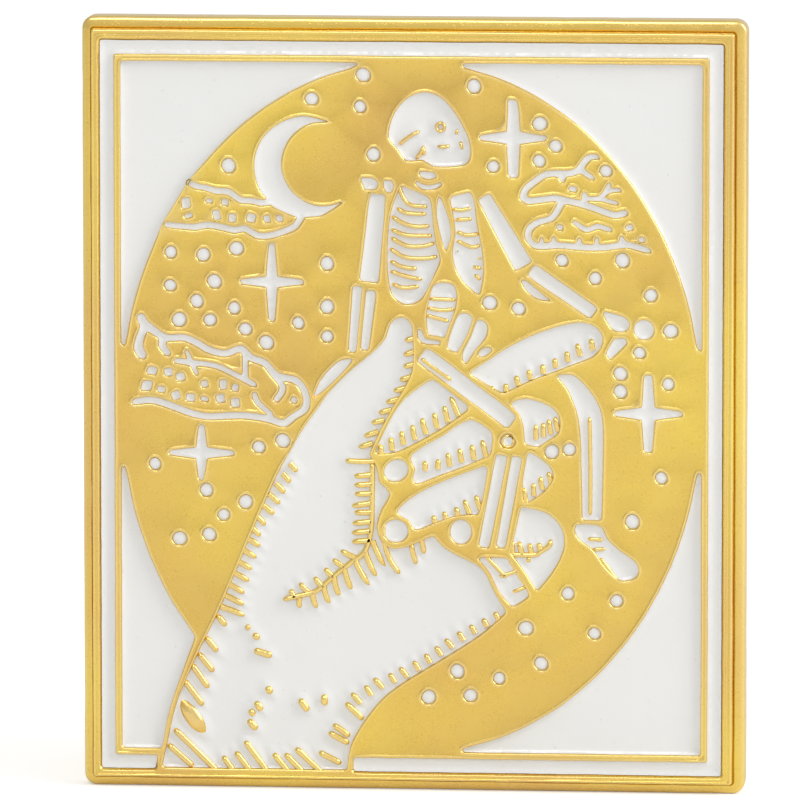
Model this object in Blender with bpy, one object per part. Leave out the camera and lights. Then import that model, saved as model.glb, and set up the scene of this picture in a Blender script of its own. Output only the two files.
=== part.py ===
"""Rectangular soft-enamel pin with two posts and two butterfly clutches.

Metres, +Z up.  The front faces -Y and the posts point along +Y.  The origin is the
centre of the back face.  Distances on the face are written in millimetres and
turned into metres where the meshes are made.
"""

import bmesh
import bpy
import math

MM = 0.001

# Plate
HALF_WIDTH = 15.0
HALF_HEIGHT = 17.5
CORNER_RADIUS = 0.55
CORNER_STEPS = 4
STEP_WIDTH = 0.32
STEP_THICKNESS = 1.5
FACE_THICKNESS = 1.9
CELL_FLOOR = 1.35
ENAMEL_TOP = 1.7
ENAMEL_GAP = 0.03

# Borders on the face, measured from the outer edge inwards
RIM_WIDTH = 0.95
CHANNEL_WIDTH = 0.62
INNER_LINE = 0.36
OVAL_WIDE = 13.2
OVAL_TALL = 15.75
OVAL_STEP_DEGREES = 8.0
CORNER_TIP = 0.08

# Posts
POST_X = 7.5
POST_Z = 4.0
POST_RADIUS = 0.575
POST_LENGTH = 8.0
POST_GROOVE = 0.42
POST_TIP_LENGTH = 1.1
POST_TIP_RADIUS = 0.12
PAD_RADIUS = 1.6
PAD_THICKNESS = 0.35
SOLDER_GAP = 0.03
POST_SEGMENTS = 20

# Clutches, measured along the post from the side that touches the cloth
CLUTCH_SEAT = 2.6
CLUTCH_SEGMENTS = 32
DISH_RADIUS = 5.7
DISH_HOLE = 0.8
SHEET = 0.35
DISH_HEIGHT = 1.45
DISH_LIP = 0.55
COVER_RADIUS = 5.2
COVER_SEAT = 0.6
COVER_TOP = 2.05
COVER_DOME_RADIUS = 4.35
WINDOW_NEAR = 1.5
WINDOW_FAR = 2.95
WINDOW_HALF = 2.95
WING_THICKNESS = 0.3


# ---------------------------------------------------------------- outlines


def smooth_outline(points, steps=2):
    """Closed curve through the points; a third value marks a sharp corner."""
    count = len(points)
    curve = []
    for i in range(count):
        start = points[i]
        end = points[(i + 1) % count]
        sharp_start = len(start) > 2
        sharp_end = len(end) > 2
        before = start if sharp_start else points[i - 1]
        after = end if sharp_end else points[(i + 2) % count]
        pieces = 1 if sharp_start and sharp_end else steps
        for k in range(pieces):
            t = k / pieces
            curve.append(tuple(
                0.5 * (2 * start[c] + (end[c] - before[c]) * t
                       + (2 * before[c] - 5 * start[c] + 4 * end[c] - after[c]) * t * t
                       + (3 * start[c] - before[c] - 3 * end[c] + after[c]) * t ** 3)
                for c in (0, 1)))
    return curve


def ellipse(x, z, wide, tall, count=10, turn=0.0):
    outline = []
    for i in range(count):
        angle = 2 * math.pi * i / count
        u, v = wide * math.cos(angle), tall * math.sin(angle)
        outline.append((x + u * math.cos(turn) - v * math.sin(turn),
                        z + u * math.sin(turn) + v * math.cos(turn)))
    return outline


def star(x, z, across, up, blunt_across, blunt_up, waist):
    """Four-pointed star with blunt arm ends."""
    return [(x + across, z - blunt_across), (x + across, z + blunt_across),
            (x + waist, z + waist), (x + blunt_up, z + up),
            (x - blunt_up, z + up), (x - waist, z + waist),
            (x - across, z + blunt_across), (x - across, z - blunt_across),
            (x - waist, z - waist), (x - blunt_up, z - up),
            (x + blunt_up, z - up), (x + waist, z - waist)]


def crescent(x, z, radius, hollow_x, hollow_z, hollow_radius, steps=9):
    """Moon between an outer circle and a smaller circle that hollows it out."""
    across, up = hollow_x - x, hollow_z - z
    apart = math.hypot(across, up)
    facing = math.atan2(up, across)
    reach = (apart ** 2 + radius ** 2 - hollow_radius ** 2) / (2 * apart)
    half_outer = math.acos(reach / radius)
    half_inner = math.acos((reach - apart) / hollow_radius)
    outline = []
    for i in range(steps + 1):
        angle = facing + half_outer + (2 * math.pi - 2 * half_outer) * i / steps
        outline.append((x + radius * math.cos(angle), z + radius * math.sin(angle)))
    for i in range(1, steps):
        angle = facing - half_inner - (2 * math.pi - 2 * half_inner) * i / steps
        outline.append((hollow_x + hollow_radius * math.cos(angle),
                        hollow_z + hollow_radius * math.sin(angle)))
    return outline


def ribbon(path, width):
    """Strip of even width along an open path, with pointed ends."""
    left, right = [], []
    last = len(path) - 1
    for i, (x, z) in enumerate(path):
        if i in (0, last):
            continue
        ahead, behind = path[i + 1], path[i - 1]
        dx, dz = ahead[0] - behind[0], ahead[1] - behind[1]
        scale = width / 2 / math.hypot(dx, dz)
        left.append((x - dz * scale, z + dx * scale))
        right.append((x + dz * scale, z - dx * scale))
    start = (*path[0], 1)
    end = (*path[last], 1)
    return smooth_outline([start] + left + [end] + right[::-1])


def bone(x0, z0, x1, z1, width0, width1):
    """Straight bone with square ends."""
    dx, dz = x1 - x0, z1 - z0
    length = math.hypot(dx, dz)
    nx, nz = -dz / length, dx / length
    a, b = width0 / 2, width1 / 2
    return [(x0 + nx * a, z0 + nz * a), (x0 - nx * a, z0 - nz * a),
            (x1 - nx * b, z1 - nz * b), (x1 + nx * b, z1 + nz * b)]


def signed_area(outline):
    return 0.5 * sum(x0 * z1 - x1 * z0 for (x0, z0), (x1, z1)
                     in zip(outline, outline[1:] + outline[:1]))


def grown(outline, distance):
    """The outline moved outwards by a distance, or inwards where it is negative."""
    side = 1 if signed_area(outline) > 0 else -1
    count = len(outline)
    moved = []
    for i, (x, z) in enumerate(outline):
        xa, za = outline[i - 1]
        xb, zb = outline[(i + 1) % count]
        la, lb = math.hypot(x - xa, z - za), math.hypot(xb - x, zb - z)
        na = ((z - za) / la, (xa - x) / la)
        nb = ((zb - z) / lb, (x - xb) / lb)
        mx, mz = na[0] + nb[0], na[1] + nb[1]
        reach = max(0.5, 1 + na[0] * nb[0] + na[1] * nb[1])
        moved.append((x + side * distance * mx / reach, z + side * distance * mz / reach))
    return moved


def rounded_rectangle(half_wide, half_high, radius):
    outline = []
    for corner in range(4):
        sx = 1 if corner in (0, 3) else -1
        sz = 1 if corner in (0, 1) else -1
        for k in range(CORNER_STEPS + 1):
            angle = math.pi / 2 * (corner + k / CORNER_STEPS)
            outline.append((sx * (half_wide - radius) + radius * math.cos(angle),
                            sz * (half_high - radius) + radius * math.sin(angle)))
    return outline


# ------------------------------------------------------------ face drawing


def field_edges():
    """Half width and half height of the area inside the inner line."""
    inset = RIM_WIDTH + CHANNEL_WIDTH + INNER_LINE
    return HALF_WIDTH - inset, HALF_HEIGHT - inset


def oval_arc(sign_x, sign_z, stop_x):
    """Quarter of the oval's edge, from the side of the field towards its end."""
    wide, tall = field_edges()
    begin = math.acos((wide - CORNER_TIP) / OVAL_WIDE)
    finish = math.acos(stop_x / OVAL_WIDE)
    steps = max(2, round(math.degrees(finish - begin) / OVAL_STEP_DEGREES))
    arc = []
    for i in range(steps + 1):
        angle = begin + (finish - begin) * i / steps
        arc.append((sign_x * OVAL_WIDE * math.cos(angle),
                    sign_z * OVAL_TALL * math.sin(angle)))
    return arc


def corner_field(sign_x, sign_z):
    wide, tall = field_edges()
    stop_x = OVAL_WIDE * math.sqrt(1 - ((tall - CORNER_TIP) / OVAL_TALL) ** 2)
    arc = oval_arc(sign_x, sign_z, stop_x)
    return arc + [(arc[-1][0], sign_z * tall), (sign_x * wide, sign_z * tall),
                  (sign_x * wide, arc[0][1])]


def wrist_corner_field():
    """Lower left corner, which the wrist cuts off."""
    wide, tall = field_edges()
    arc = oval_arc(-1, -1, 9.85)
    return arc + [(-10.95, -13.6), (-11.35, -tall), (-wide, -tall), (-wide, arc[0][1])]


def border_channel():
    """The channel inside the rim; the wrist interrupts it at the bottom."""
    out_x, out_z = HALF_WIDTH - RIM_WIDTH, HALF_HEIGHT - RIM_WIDTH
    in_x, in_z = out_x - CHANNEL_WIDTH, out_z - CHANNEL_WIDTH
    wrist_left, wrist_right = -11.6, -2.6
    return [(wrist_left, -out_z), (wrist_left + 0.1, -in_z), (-in_x, -in_z), (-in_x, in_z),
            (in_x, in_z), (in_x, -in_z), (wrist_right, -in_z), (wrist_right, -out_z),
            (out_x, -out_z), (out_x, out_z), (-out_x, out_z), (-out_x, -out_z)]


def border_cells():
    return {
        "enamel_border": border_channel(),
        "enamel_corner_top_left": corner_field(-1, 1),
        "enamel_corner_top_right": corner_field(1, 1),
        "enamel_corner_bottom_right": corner_field(1, -1),
        "enamel_corner_bottom_left": wrist_corner_field(),
    }


def sky_cells():
    return {
        "enamel_moon": crescent(-5.0, 10.6, 2.3, -4.15, 10.75, 1.92),
        "enamel_star_top": star(4.4, 12.0, 1.5, 1.75, 0.06, 0.17, 0.24),
        "enamel_star_left": star(-6.5, 5.4, 1.4, 1.75, 0.06, 0.08, 0.2),
        "enamel_star_lower_left": star(-9.7, -2.4, 1.45, 1.25, 0.06, 0.08, 0.2),
        "enamel_star_right": star(10.5, -0.4, 1.5, 1.7, 0.06, 0.14, 0.24),
        "enamel_cloud_left_top": ribbon(
            [(-9.75, 9.95), (-9.3, 9.6), (-8.8, 9.7), (-8.2, 9.4), (-7.7, 9.15),
             (-7.3, 9.15), (-6.85, 8.75)], 0.36),
        "enamel_cloud_left_base": ribbon(
            [(-10.75, 8.3), (-10.1, 8.0), (-9.3, 8.1), (-8.3, 7.6), (-7.2, 7.7),
             (-6.2, 8.0), (-5.3, 7.85)], 0.36),
        "enamel_cloud_middle_top": ribbon(
            [(-12.35, 4.35), (-12.1, 3.7), (-11.3, 3.35), (-10.6, 2.7), (-9.6, 2.75),
             (-8.7, 2.2), (-7.6, 2.1), (-6.9, 1.35), (-5.9, 1.2), (-5.3, 0.5)], 0.4),
        "enamel_cloud_middle_base": ribbon(
            [(-12.6, 0.3), (-11.4, -0.35), (-10.2, -0.55), (-8.8, -0.75), (-7.4, -0.9),
             (-6.3, -0.95), (-5.75, -0.6)], 0.4),
        "enamel_cloud_right_top": ribbon(
            [(8.3, 11.4), (7.6, 10.9), (7.1, 10.4), (6.2, 10.5), (5.4, 10.1),
             (5.1, 9.6), (5.6, 9.2), (6.4, 9.4), (7.3, 9.0), (8.2, 8.9), (9.2, 8.5)], 0.38),
        "enamel_cloud_right_base": ribbon(
            [(6.7, 8.5), (5.9, 8.3), (5.3, 8.0), (5.1, 7.5), (5.6, 7.1),
             (6.8, 7.15), (8.2, 7.05), (9.4, 7.1), (10.4, 6.9)], 0.38),
    }


def hand_cells():
    return {
        "enamel_palm": smooth_outline([
            (-11.2, -16.4, 1), (-10.6, -13.7), (-9.4, -10.9), (-8.1, -7.9), (-6.9, -5.0),
            (-5.6, -2.2), (-4.5, -0.6), (-3.75, 0.5), (-2.9, 1.35), (-2.0, 2.05),
            (-1.3, 2.8), (-1.05, 3.5), (-0.6, 3.75), (-0.25, 3.4), (-0.2, 2.6),
            (-0.25, 1.5), (-0.85, 0.3), (-1.6, -1.1), (-2.2, -2.4, 1), (-1.85, -3.0),
            (-1.7, -3.7), (-1.25, -4.15), (-1.6, -4.75), (-1.85, -5.6), (-1.6, -6.4),
            (-1.0, -6.75), (-0.2, -6.6), (0.8, -6.15, 1), (1.15, -6.6), (1.8, -7.0),
            (2.5, -7.3), (3.1, -7.75), (3.5, -8.65), (4.0, -9.45, 1), (3.0, -10.35),
            (1.6, -11.3), (0.3, -12.1), (-1.2, -13.1), (-2.2, -14.2), (-2.8, -15.3),
            (-2.95, -16.4, 1)]),
        "enamel_index_finger": smooth_outline([
            (2.55, 1.35, 1), (3.8, 2.2), (5.2, 2.95), (6.6, 3.45), (7.5, 3.6),
            (8.1, 3.4), (8.35, 2.9), (8.0, 2.3), (7.0, 1.85), (5.2, 1.15), (3.95, 0.55, 1)]),
        "enamel_middle_finger": smooth_outline([
            (0.75, 0.95, 1), (-0.1, 0.35), (-0.8, -0.4), (-1.3, -1.3), (-1.75, -2.25, 1),
            (-0.9, -2.15), (0.2, -1.6), (1.3, -0.95), (2.3, -0.2, 1)]),
        "enamel_middle_fingertip": smooth_outline([
            (4.4, -0.05, 1), (4.95, 0.1), (5.8, -0.1), (6.35, -0.55), (6.3, -1.3),
            (5.6, -1.85, 1), (5.05, -1.75, 1), (5.0, -1.1), (4.8, -0.5)]),
        "enamel_ring_finger": smooth_outline([
            (-0.1, -2.45), (1.3, -1.6), (2.5, -0.85), (3.35, -1.45, 1), (3.3, -2.25, 1),
            (2.2, -2.75), (0.9, -3.25), (0.0, -3.6), (0.1, -3.0)]),
        "enamel_ring_fingertip": smooth_outline([
            (5.15, -2.3, 1), (5.8, -2.65), (6.1, -3.25), (5.7, -3.9), (5.0, -4.4, 1),
            (4.95, -3.4)]),
        "enamel_little_finger": smooth_outline([
            (-0.75, -5.0), (0.3, -4.15), (1.6, -3.55), (3.15, -2.95, 1), (3.0, -4.1),
            (2.75, -4.95, 1), (1.9, -5.0), (0.8, -5.35), (0.0, -5.7), (-0.2, -5.3)]),
        "enamel_nail_ring": ellipse(-0.88, -3.1, 0.52, 0.42, turn=0.5),
        "enamel_nail_little": ellipse(-0.9, -5.85, 0.5, 0.45),
        "enamel_nail_thumb": ellipse(2.05, -5.85, 0.42, 0.5),
        "enamel_heel": smooth_outline([
            (4.8, -4.75, 1), (5.9, -5.0), (6.55, -5.65), (6.65, -6.5), (6.2, -7.5),
            (5.5, -8.4, 1), (4.85, -7.4), (4.35, -6.75, 1), (4.6, -5.7)]),
    }


def head_and_chest_cells():
    return {
        "enamel_skull": smooth_outline([
            (-1.2, 12.0), (-1.0, 12.9), (-0.45, 13.65), (0.35, 14.0), (1.15, 13.75),
            (1.75, 13.1), (2.15, 12.4), (2.4, 11.8), (2.42, 11.1), (2.05, 10.75),
            (0.9, 10.7), (0.3, 11.0), (-0.4, 10.95), (-0.8, 11.5)]),
        "enamel_ribs_left": smooth_outline([
            (-0.65, 9.75, 1), (0.1, 9.45), (0.6, 9.15), (0.72, 8.2), (0.85, 7.2),
            (1.05, 6.5), (0.8, 5.85), (0.45, 5.1), (0.1, 4.65), (-0.45, 4.5),
            (-1.0, 4.9), (-1.2, 5.9), (-1.22, 7.1), (-1.1, 8.4), (-0.85, 9.2)]),
        "enamel_sternum": smooth_outline([
            (1.08, 9.25, 1), (1.42, 8.4), (1.55, 7.6), (1.36, 6.95, 1), (1.18, 7.6),
            (1.0, 8.5)]),
        "enamel_ribs_right": smooth_outline([
            (1.6, 9.25, 1), (2.45, 9.5, 1), (2.6, 9.0), (2.72, 8.0), (2.92, 7.0),
            (3.0, 5.9), (2.85, 4.95, 1), (2.3, 5.4), (1.9, 6.0), (1.72, 6.8),
            (1.85, 7.6), (1.78, 8.4)]),
        "enamel_lumbar": smooth_outline([
            (0.9, 5.3), (1.7, 5.3), (1.75, 4.4), (1.5, 3.6), (1.3, 3.0, 1),
            (0.6, 3.1, 1), (0.55, 3.9), (0.7, 4.7)]),
    }


def limb_cells():
    return {
        "enamel_humerus_left": bone(-1.7, 9.4, -2.1, 5.5, 0.62, 0.74),
        "enamel_radius_left": bone(-2.62, 5.2, -2.85, 2.3, 0.34, 0.24),
        "enamel_ulna_left": bone(-2.02, 5.0, -2.3, 2.4, 0.36, 0.26),
        "enamel_hand_left": smooth_outline([
            (-2.9, 1.9, 1), (-3.5, 1.75), (-4.25, 0.95), (-4.6, 0.2, 1), (-4.1, 0.6),
            (-3.4, 1.3)]),
        "enamel_humerus_right": bone(3.1, 9.3, 4.85, 6.25, 0.5, 0.78),
        "enamel_forearm_right": bone(5.25, 6.02, 8.0, 4.15, 0.54, 0.48),
        "enamel_wrist_right": smooth_outline([
            (8.5, 4.15, 1), (9.3, 3.95), (9.62, 3.65), (9.4, 3.35), (8.85, 3.5)]),
        "enamel_knuckle_right": ellipse(10.3, 3.4, 0.4, 0.4),
        "enamel_pelvis_left": smooth_outline([
            (1.85, 3.7), (2.15, 4.0), (2.5, 3.8), (2.3, 3.1), (1.9, 2.35, 1),
            (1.5, 2.5, 1), (1.62, 3.1)]),
        "enamel_pelvis_right": smooth_outline([
            (2.8, 3.7), (3.15, 3.5), (3.05, 2.95), (2.65, 2.4), (2.25, 1.85, 1),
            (2.2, 2.35), (2.55, 3.0)]),
        "enamel_femur": bone(0.35, 2.15, 4.3, -0.8, 0.62, 0.56),
        "enamel_tibia": bone(3.9, -2.4, 3.1, -6.5, 0.42, 0.36),
        "enamel_fibula": bone(4.58, -2.45, 3.86, -6.5, 0.36, 0.3),
        "enamel_foot_front": smooth_outline([
            (2.95, -7.1, 1), (4.1, -7.1, 1), (4.6, -7.8), (5.05, -8.7, 1),
            (4.4, -9.15, 1), (3.85, -8.5), (3.45, -7.7)]),
        "enamel_leg_back": smooth_outline([
            (6.45, 1.25, 1), (7.1, 1.25), (7.8, 0.6), (8.3, -0.3), (8.42, -1.6),
            (8.35, -5.2, 1), (7.6, -5.2, 1), (7.5, -1.4), (7.25, -0.1), (6.9, 0.7)]),
        "enamel_foot_back": smooth_outline([
            (7.3, -5.55), (8.3, -5.6), (8.6, -6.15), (9.2, -6.7), (9.9, -7.2),
            (9.95, -7.7), (9.35, -7.9), (8.7, -7.4), (8.1, -6.55), (7.5, -6.1)]),
    }


def all_cells():
    cells = {}
    for group in (border_cells, sky_cells, hand_cells, head_and_chest_cells, limb_cells):
        cells.update(group())
    return cells


# ------------------------------------------------------------------ meshes


def material(name, colour, metallic, roughness):
    made = bpy.data.materials.new(name)
    made.use_nodes = True
    shader = made.node_tree.nodes["Principled BSDF"]
    shader.inputs["Base Color"].default_value = (*colour, 1)
    shader.inputs["Metallic"].default_value = metallic
    shader.inputs["Roughness"].default_value = roughness
    return made


def add_object(name, mesh_builder, finish):
    mesh = bpy.data.meshes.new(name)
    bmesh.ops.recalc_face_normals(mesh_builder, faces=mesh_builder.faces)
    mesh_builder.to_mesh(mesh)
    mesh_builder.free()
    made = bpy.data.objects.new(name, mesh)
    bpy.context.scene.collection.objects.link(made)
    made.data.materials.append(finish)
    return made


def add_ring(builder, outline, y):
    return [builder.verts.new((x * MM, y * MM, z * MM)) for x, z in outline]


def join_rings(builder, ring_a, ring_b):
    count = len(ring_a)
    for i in range(count):
        j = (i + 1) % count
        builder.faces.new((ring_a[i], ring_a[j], ring_b[j], ring_b[i]))


def add_prism(builder, outline, y_back, y_front):
    back = add_ring(builder, outline, y_back)
    front = add_ring(builder, outline, y_front)
    join_rings(builder, back, front)
    builder.faces.new(back)
    builder.faces.new(front)


def turned(profile, segments, x, y, z):
    """Solid or ring turned about a line along Y; the profile is (radius, distance)."""
    builder = bmesh.new()
    rings = []
    for radius, along in profile:
        if radius == 0:
            rings.append([builder.verts.new((x * MM, (y + along) * MM, z * MM))])
            continue
        rings.append([builder.verts.new((
            (x + radius * math.cos(2 * math.pi * i / segments)) * MM,
            (y + along) * MM,
            (z + radius * math.sin(2 * math.pi * i / segments)) * MM))
            for i in range(segments)])
    closed = len(rings[0]) > 1
    pairs = list(zip(rings, rings[1:] + rings[:1] if closed else rings[1:]))
    for ring_a, ring_b in pairs:
        if len(ring_a) == 1 or len(ring_b) == 1:
            tip = ring_a[0] if len(ring_a) == 1 else ring_b[0]
            edge = ring_b if len(ring_a) == 1 else ring_a
            for i in range(segments):
                builder.faces.new((tip, edge[i], edge[(i + 1) % segments]))
        else:
            join_rings(builder, ring_a, ring_b)
    return builder


def shade_round(made):
    made.data.shade_smooth()
    made.data.set_sharp_from_angle(angle=math.radians(35))


def make_cutter(name, outlines, y_back, y_front):
    builder = bmesh.new()
    for outline in outlines:
        add_prism(builder, outline, y_back, y_front)
    cutter = add_object(name, builder, bpy.data.materials["gold_plate"])
    cutter.hide_render = True
    cutter.display_type = "WIRE"
    return cutter


def cut(made, cutter):
    modifier = made.modifiers.new("cut", "BOOLEAN")
    modifier.operation = "DIFFERENCE"
    modifier.solver = "EXACT"
    modifier.object = cutter


# --------------------------------------------------------------- sub-parts


def make_pin_body(cells, finish):
    """Cast plate with a stepped rim and one recess for each enamel cell."""
    outer = rounded_rectangle(HALF_WIDTH, HALF_HEIGHT, CORNER_RADIUS)
    raised = rounded_rectangle(HALF_WIDTH - STEP_WIDTH, HALF_HEIGHT - STEP_WIDTH,
                               CORNER_RADIUS - STEP_WIDTH / 2)
    builder = bmesh.new()
    levels = ((outer, 0), (outer, -STEP_THICKNESS),
              (raised, -STEP_THICKNESS), (raised, -FACE_THICKNESS))
    rings = [add_ring(builder, outline, y) for outline, y in levels]
    for ring_a, ring_b in zip(rings, rings[1:]):
        join_rings(builder, ring_a, ring_b)
    builder.faces.new(rings[0])
    builder.faces.new(rings[-1])
    body = add_object("pin_body", builder, finish)
    above = FACE_THICKNESS + 1.0
    cutter = make_cutter("cell_cutter", cells.values(), -CELL_FLOOR, -above)
    cut(body, cutter)


def make_enamel(name, outline, finish):
    """Enamel that fills its recess to just under the metal lines."""
    builder = bmesh.new()
    add_prism(builder, grown(outline, -ENAMEL_GAP),
              -CELL_FLOOR - ENAMEL_GAP, -ENAMEL_TOP)
    add_object(name, builder, finish)


def make_post(name, x, finish):
    """Pointed post with a flat pad, soldered to the back."""
    groove = CLUTCH_SEAT + 1.0
    tip = POST_LENGTH - POST_TIP_LENGTH
    profile = [(0, SOLDER_GAP), (PAD_RADIUS, SOLDER_GAP), (PAD_RADIUS, PAD_THICKNESS),
               (POST_RADIUS, PAD_THICKNESS + 0.1), (POST_RADIUS, groove),
               (POST_GROOVE, groove + 0.15), (POST_GROOVE, groove + 0.55),
               (POST_RADIUS, groove + 0.7), (POST_RADIUS, tip),
               (POST_TIP_RADIUS, POST_LENGTH - 0.05), (0, POST_LENGTH)]
    post = add_object(name, turned(profile, POST_SEGMENTS, x, 0, POST_Z), finish)
    shade_round(post)


def make_dish(name, x, finish):
    """Stamped dish whose rolled lip holds the cover."""
    lip = DISH_RADIUS - DISH_LIP
    wall = DISH_RADIUS - SHEET
    profile = [(DISH_HOLE, 0.25), (1.6, 0.0), (DISH_RADIUS - 0.4, 0.0), (DISH_RADIUS, 0.4),
               (DISH_RADIUS, DISH_HEIGHT - 0.3), (DISH_RADIUS - 0.25, DISH_HEIGHT),
               (lip, DISH_HEIGHT), (lip, DISH_HEIGHT - SHEET), (wall, DISH_HEIGHT - SHEET),
               (wall, SHEET + 0.1), (wall - 0.1, SHEET), (1.6, SHEET), (DISH_HOLE, 0.6)]
    dish = add_object(name, turned(profile, CLUTCH_SEGMENTS, x, CLUTCH_SEAT, POST_Z), finish)
    shade_round(dish)


def make_cover(name, x, finish):
    """Domed cover with a window for each wing."""
    under = COVER_TOP - SHEET
    profile = [(COVER_RADIUS, COVER_SEAT), (COVER_RADIUS, COVER_SEAT + SHEET),
               (COVER_DOME_RADIUS + 0.3, COVER_SEAT + SHEET), (COVER_DOME_RADIUS, under),
               (COVER_DOME_RADIUS - 0.35, COVER_TOP), (1.3, COVER_TOP), (1.0, COVER_TOP - 0.1),
               (1.0, under), (COVER_DOME_RADIUS - 0.5, under),
               (COVER_DOME_RADIUS - 0.05, COVER_SEAT + 0.35), (COVER_DOME_RADIUS, COVER_SEAT)]
    cover = add_object(name, turned(profile, CLUTCH_SEGMENTS, x, CLUTCH_SEAT, POST_Z), finish)
    windows = []
    for side in (1, -1):
        near, far = POST_Z + side * WINDOW_NEAR, POST_Z + side * WINDOW_FAR
        windows.append([(x - WINDOW_HALF, near), (x + WINDOW_HALF, near),
                        (x + WINDOW_HALF, far), (x - WINDOW_HALF, far)])
    cutter = make_cutter(name + "_windows", windows, CLUTCH_SEAT + 1.2, CLUTCH_SEAT + 3.0)
    cut(cover, cutter)
    shade_round(cover)


def wing_path():
    """Distance from the post's axis, distance along it, and half width of the wing."""
    return ((0.78, 1.2, 1.2), (1.45, 1.42, 2.3), (2.05, 1.85, 2.7), (2.55, 2.45, 2.7),
            (3.1, 3.3, 3.0), (3.7, 4.15, 3.4), (4.35, 4.9, 3.3), (4.9, 5.4, 2.6))


def make_wing(name, x, side, finish):
    """Sprung leaf: a jaw under the cover and an ear above it."""
    path = wing_path()
    builder = bmesh.new()
    rings = []
    for i, (out, along, half) in enumerate(path):
        before, after = path[max(i - 1, 0)], path[min(i + 1, len(path) - 1)]
        d_out, d_along = after[0] - before[0], after[1] - before[1]
        scale = WING_THICKNESS / 2 / math.hypot(d_out, d_along)
        n_out, n_along = -d_along * scale, d_out * scale
        ring = []
        for face, edge in ((1, -1), (1, 1), (-1, 1), (-1, -1)):
            ring.append(builder.verts.new((
                (x + edge * half) * MM,
                (CLUTCH_SEAT + along + face * n_along) * MM,
                (POST_Z + side * (out + face * n_out)) * MM)))
        rings.append(ring)
    for ring_a, ring_b in zip(rings, rings[1:]):
        join_rings(builder, ring_a, ring_b)
    builder.faces.new(rings[0])
    builder.faces.new(rings[-1])
    shade_round(add_object(name, builder, finish))


def main():
    for old in list(bpy.data.objects):
        bpy.data.objects.remove(old, do_unlink=True)
    gold = material("gold_plate", (0.86, 0.62, 0.22), 1.0, 0.25)
    enamel = material("white_enamel", (0.86, 0.86, 0.84), 0.0, 0.2)
    brass = material("gilt_brass", (0.83, 0.62, 0.28), 1.0, 0.32)
    cells = all_cells()
    make_pin_body(cells, gold)
    for name, outline in cells.items():
        make_enamel(name, outline, enamel)
    for side, x in (("left", -POST_X), ("right", POST_X)):
        make_post("post_" + side, x, brass)
        make_dish(f"clutch_{side}_dish", x, brass)
        make_cover(f"clutch_{side}_cover", x, brass)
        make_wing(f"clutch_{side}_wing_upper", x, 1, brass)
        make_wing(f"clutch_{side}_wing_lower", x, -1, brass)


main()
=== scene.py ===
"""Gold-plated soft-enamel pin, upright, with two posts and two butterfly clutches behind it."""

import math

import bmesh
import bpy
import numpy as np
from mathutils import Matrix, Vector, kdtree, noise
from mathutils.geometry import delaunay_2d_cdt


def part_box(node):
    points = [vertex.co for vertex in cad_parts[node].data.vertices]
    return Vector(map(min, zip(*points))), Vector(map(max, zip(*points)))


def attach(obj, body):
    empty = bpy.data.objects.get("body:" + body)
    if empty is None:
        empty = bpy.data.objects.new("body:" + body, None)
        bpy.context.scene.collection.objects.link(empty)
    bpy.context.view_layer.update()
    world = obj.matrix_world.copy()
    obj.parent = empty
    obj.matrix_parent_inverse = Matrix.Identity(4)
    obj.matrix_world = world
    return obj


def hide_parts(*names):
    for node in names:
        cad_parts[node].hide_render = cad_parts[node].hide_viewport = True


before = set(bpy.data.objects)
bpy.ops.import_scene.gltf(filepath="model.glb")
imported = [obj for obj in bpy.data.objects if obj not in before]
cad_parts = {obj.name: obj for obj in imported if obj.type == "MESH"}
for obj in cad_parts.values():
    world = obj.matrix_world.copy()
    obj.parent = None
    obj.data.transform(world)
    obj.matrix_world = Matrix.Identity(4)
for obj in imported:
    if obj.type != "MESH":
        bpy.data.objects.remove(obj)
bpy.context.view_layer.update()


# ------------------------------------------------------------ cast plate: frame and back
# The body of the pin is one die casting in zinc alloy, polished by tumbling and then gold
# plated.  Its frame steps up from a low rounded band, across a groove, to a dished band
# that slopes down to the enamel.  The back is sand textured inside a smooth margin.

MM = 0.001
plate_low, plate_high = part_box("pin_body")
HALF_WIDTH = plate_high.x / MM
HALF_HEIGHT = plate_high.z / MM
FACE_LEVEL = -plate_low.y / MM
LAND_LEVEL = FACE_LEVEL - 0.03
UNEVEN = 0.012
CORNER_RADIUS = 0.55
LEAST_RADIUS = 0.1
CORNER_TIGHTENING = 0.85
CORNER_POINTS = 8
POINTS_ACROSS = 34
POINTS_UP = 40
# Distance in from the edge, distance out from the back, and polish with painted light: 1 smooth with a
# painted highlight, -1 rough with painted shade
# Painted shade: the values dip to -0.8 across the groove 0.43 to 0.48 in, painting a dark line along it; the
# crests at 1.0 carry a painted highlight
FRAME_PROFILE = (
    (0.16, 0.00, 0.3), (0.04, 0.03, 0.8), (0.00, 0.12, 0.9), (0.00, 1.26, 0.3),
    (0.015, 1.36, 0.6), (0.05, 1.425, 1.0), (0.10, 1.46, 0.8), (0.17, 1.478, 0.5),
    (0.28, 1.502, 0.3), (0.38, 1.522, 0.3), (0.43, 1.52, -0.2), (0.455, 1.49, -0.8),
    (0.475, 1.55, -0.7), (0.495, 1.74, 0.1), (0.515, 1.845, 0.7), (0.545, 1.89, 1.0),
    (0.585, 1.895, 0.8), (0.635, 1.872, 0.2), (0.68, 1.858, 0.0), (0.71, 1.872, 0.7),
    (0.735, 1.875, 0.5))
UNEVEN_ROWS = range(4, 19)
FRAME_END = 0.76
# The picture sits a little low and to the left in its frame
WIDER_SIDES = 1.105
NARROWER_SIDES = 0.895
BACK_MARGIN = 0.85
BACK_SLOPE = 0.06
BACK_RECESS = 0.05
BACK_GRAIN = 0.025
BACK_PITCH = 0.42
GRAIN_START = 1.3
GRAIN_STOP = 1.2


def wavy(x, z, size, reach, seed):
    """Slow unevenness left by the mould and the polishing."""
    return reach * noise.noise(Vector((x / size, z / size, seed)))


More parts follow.
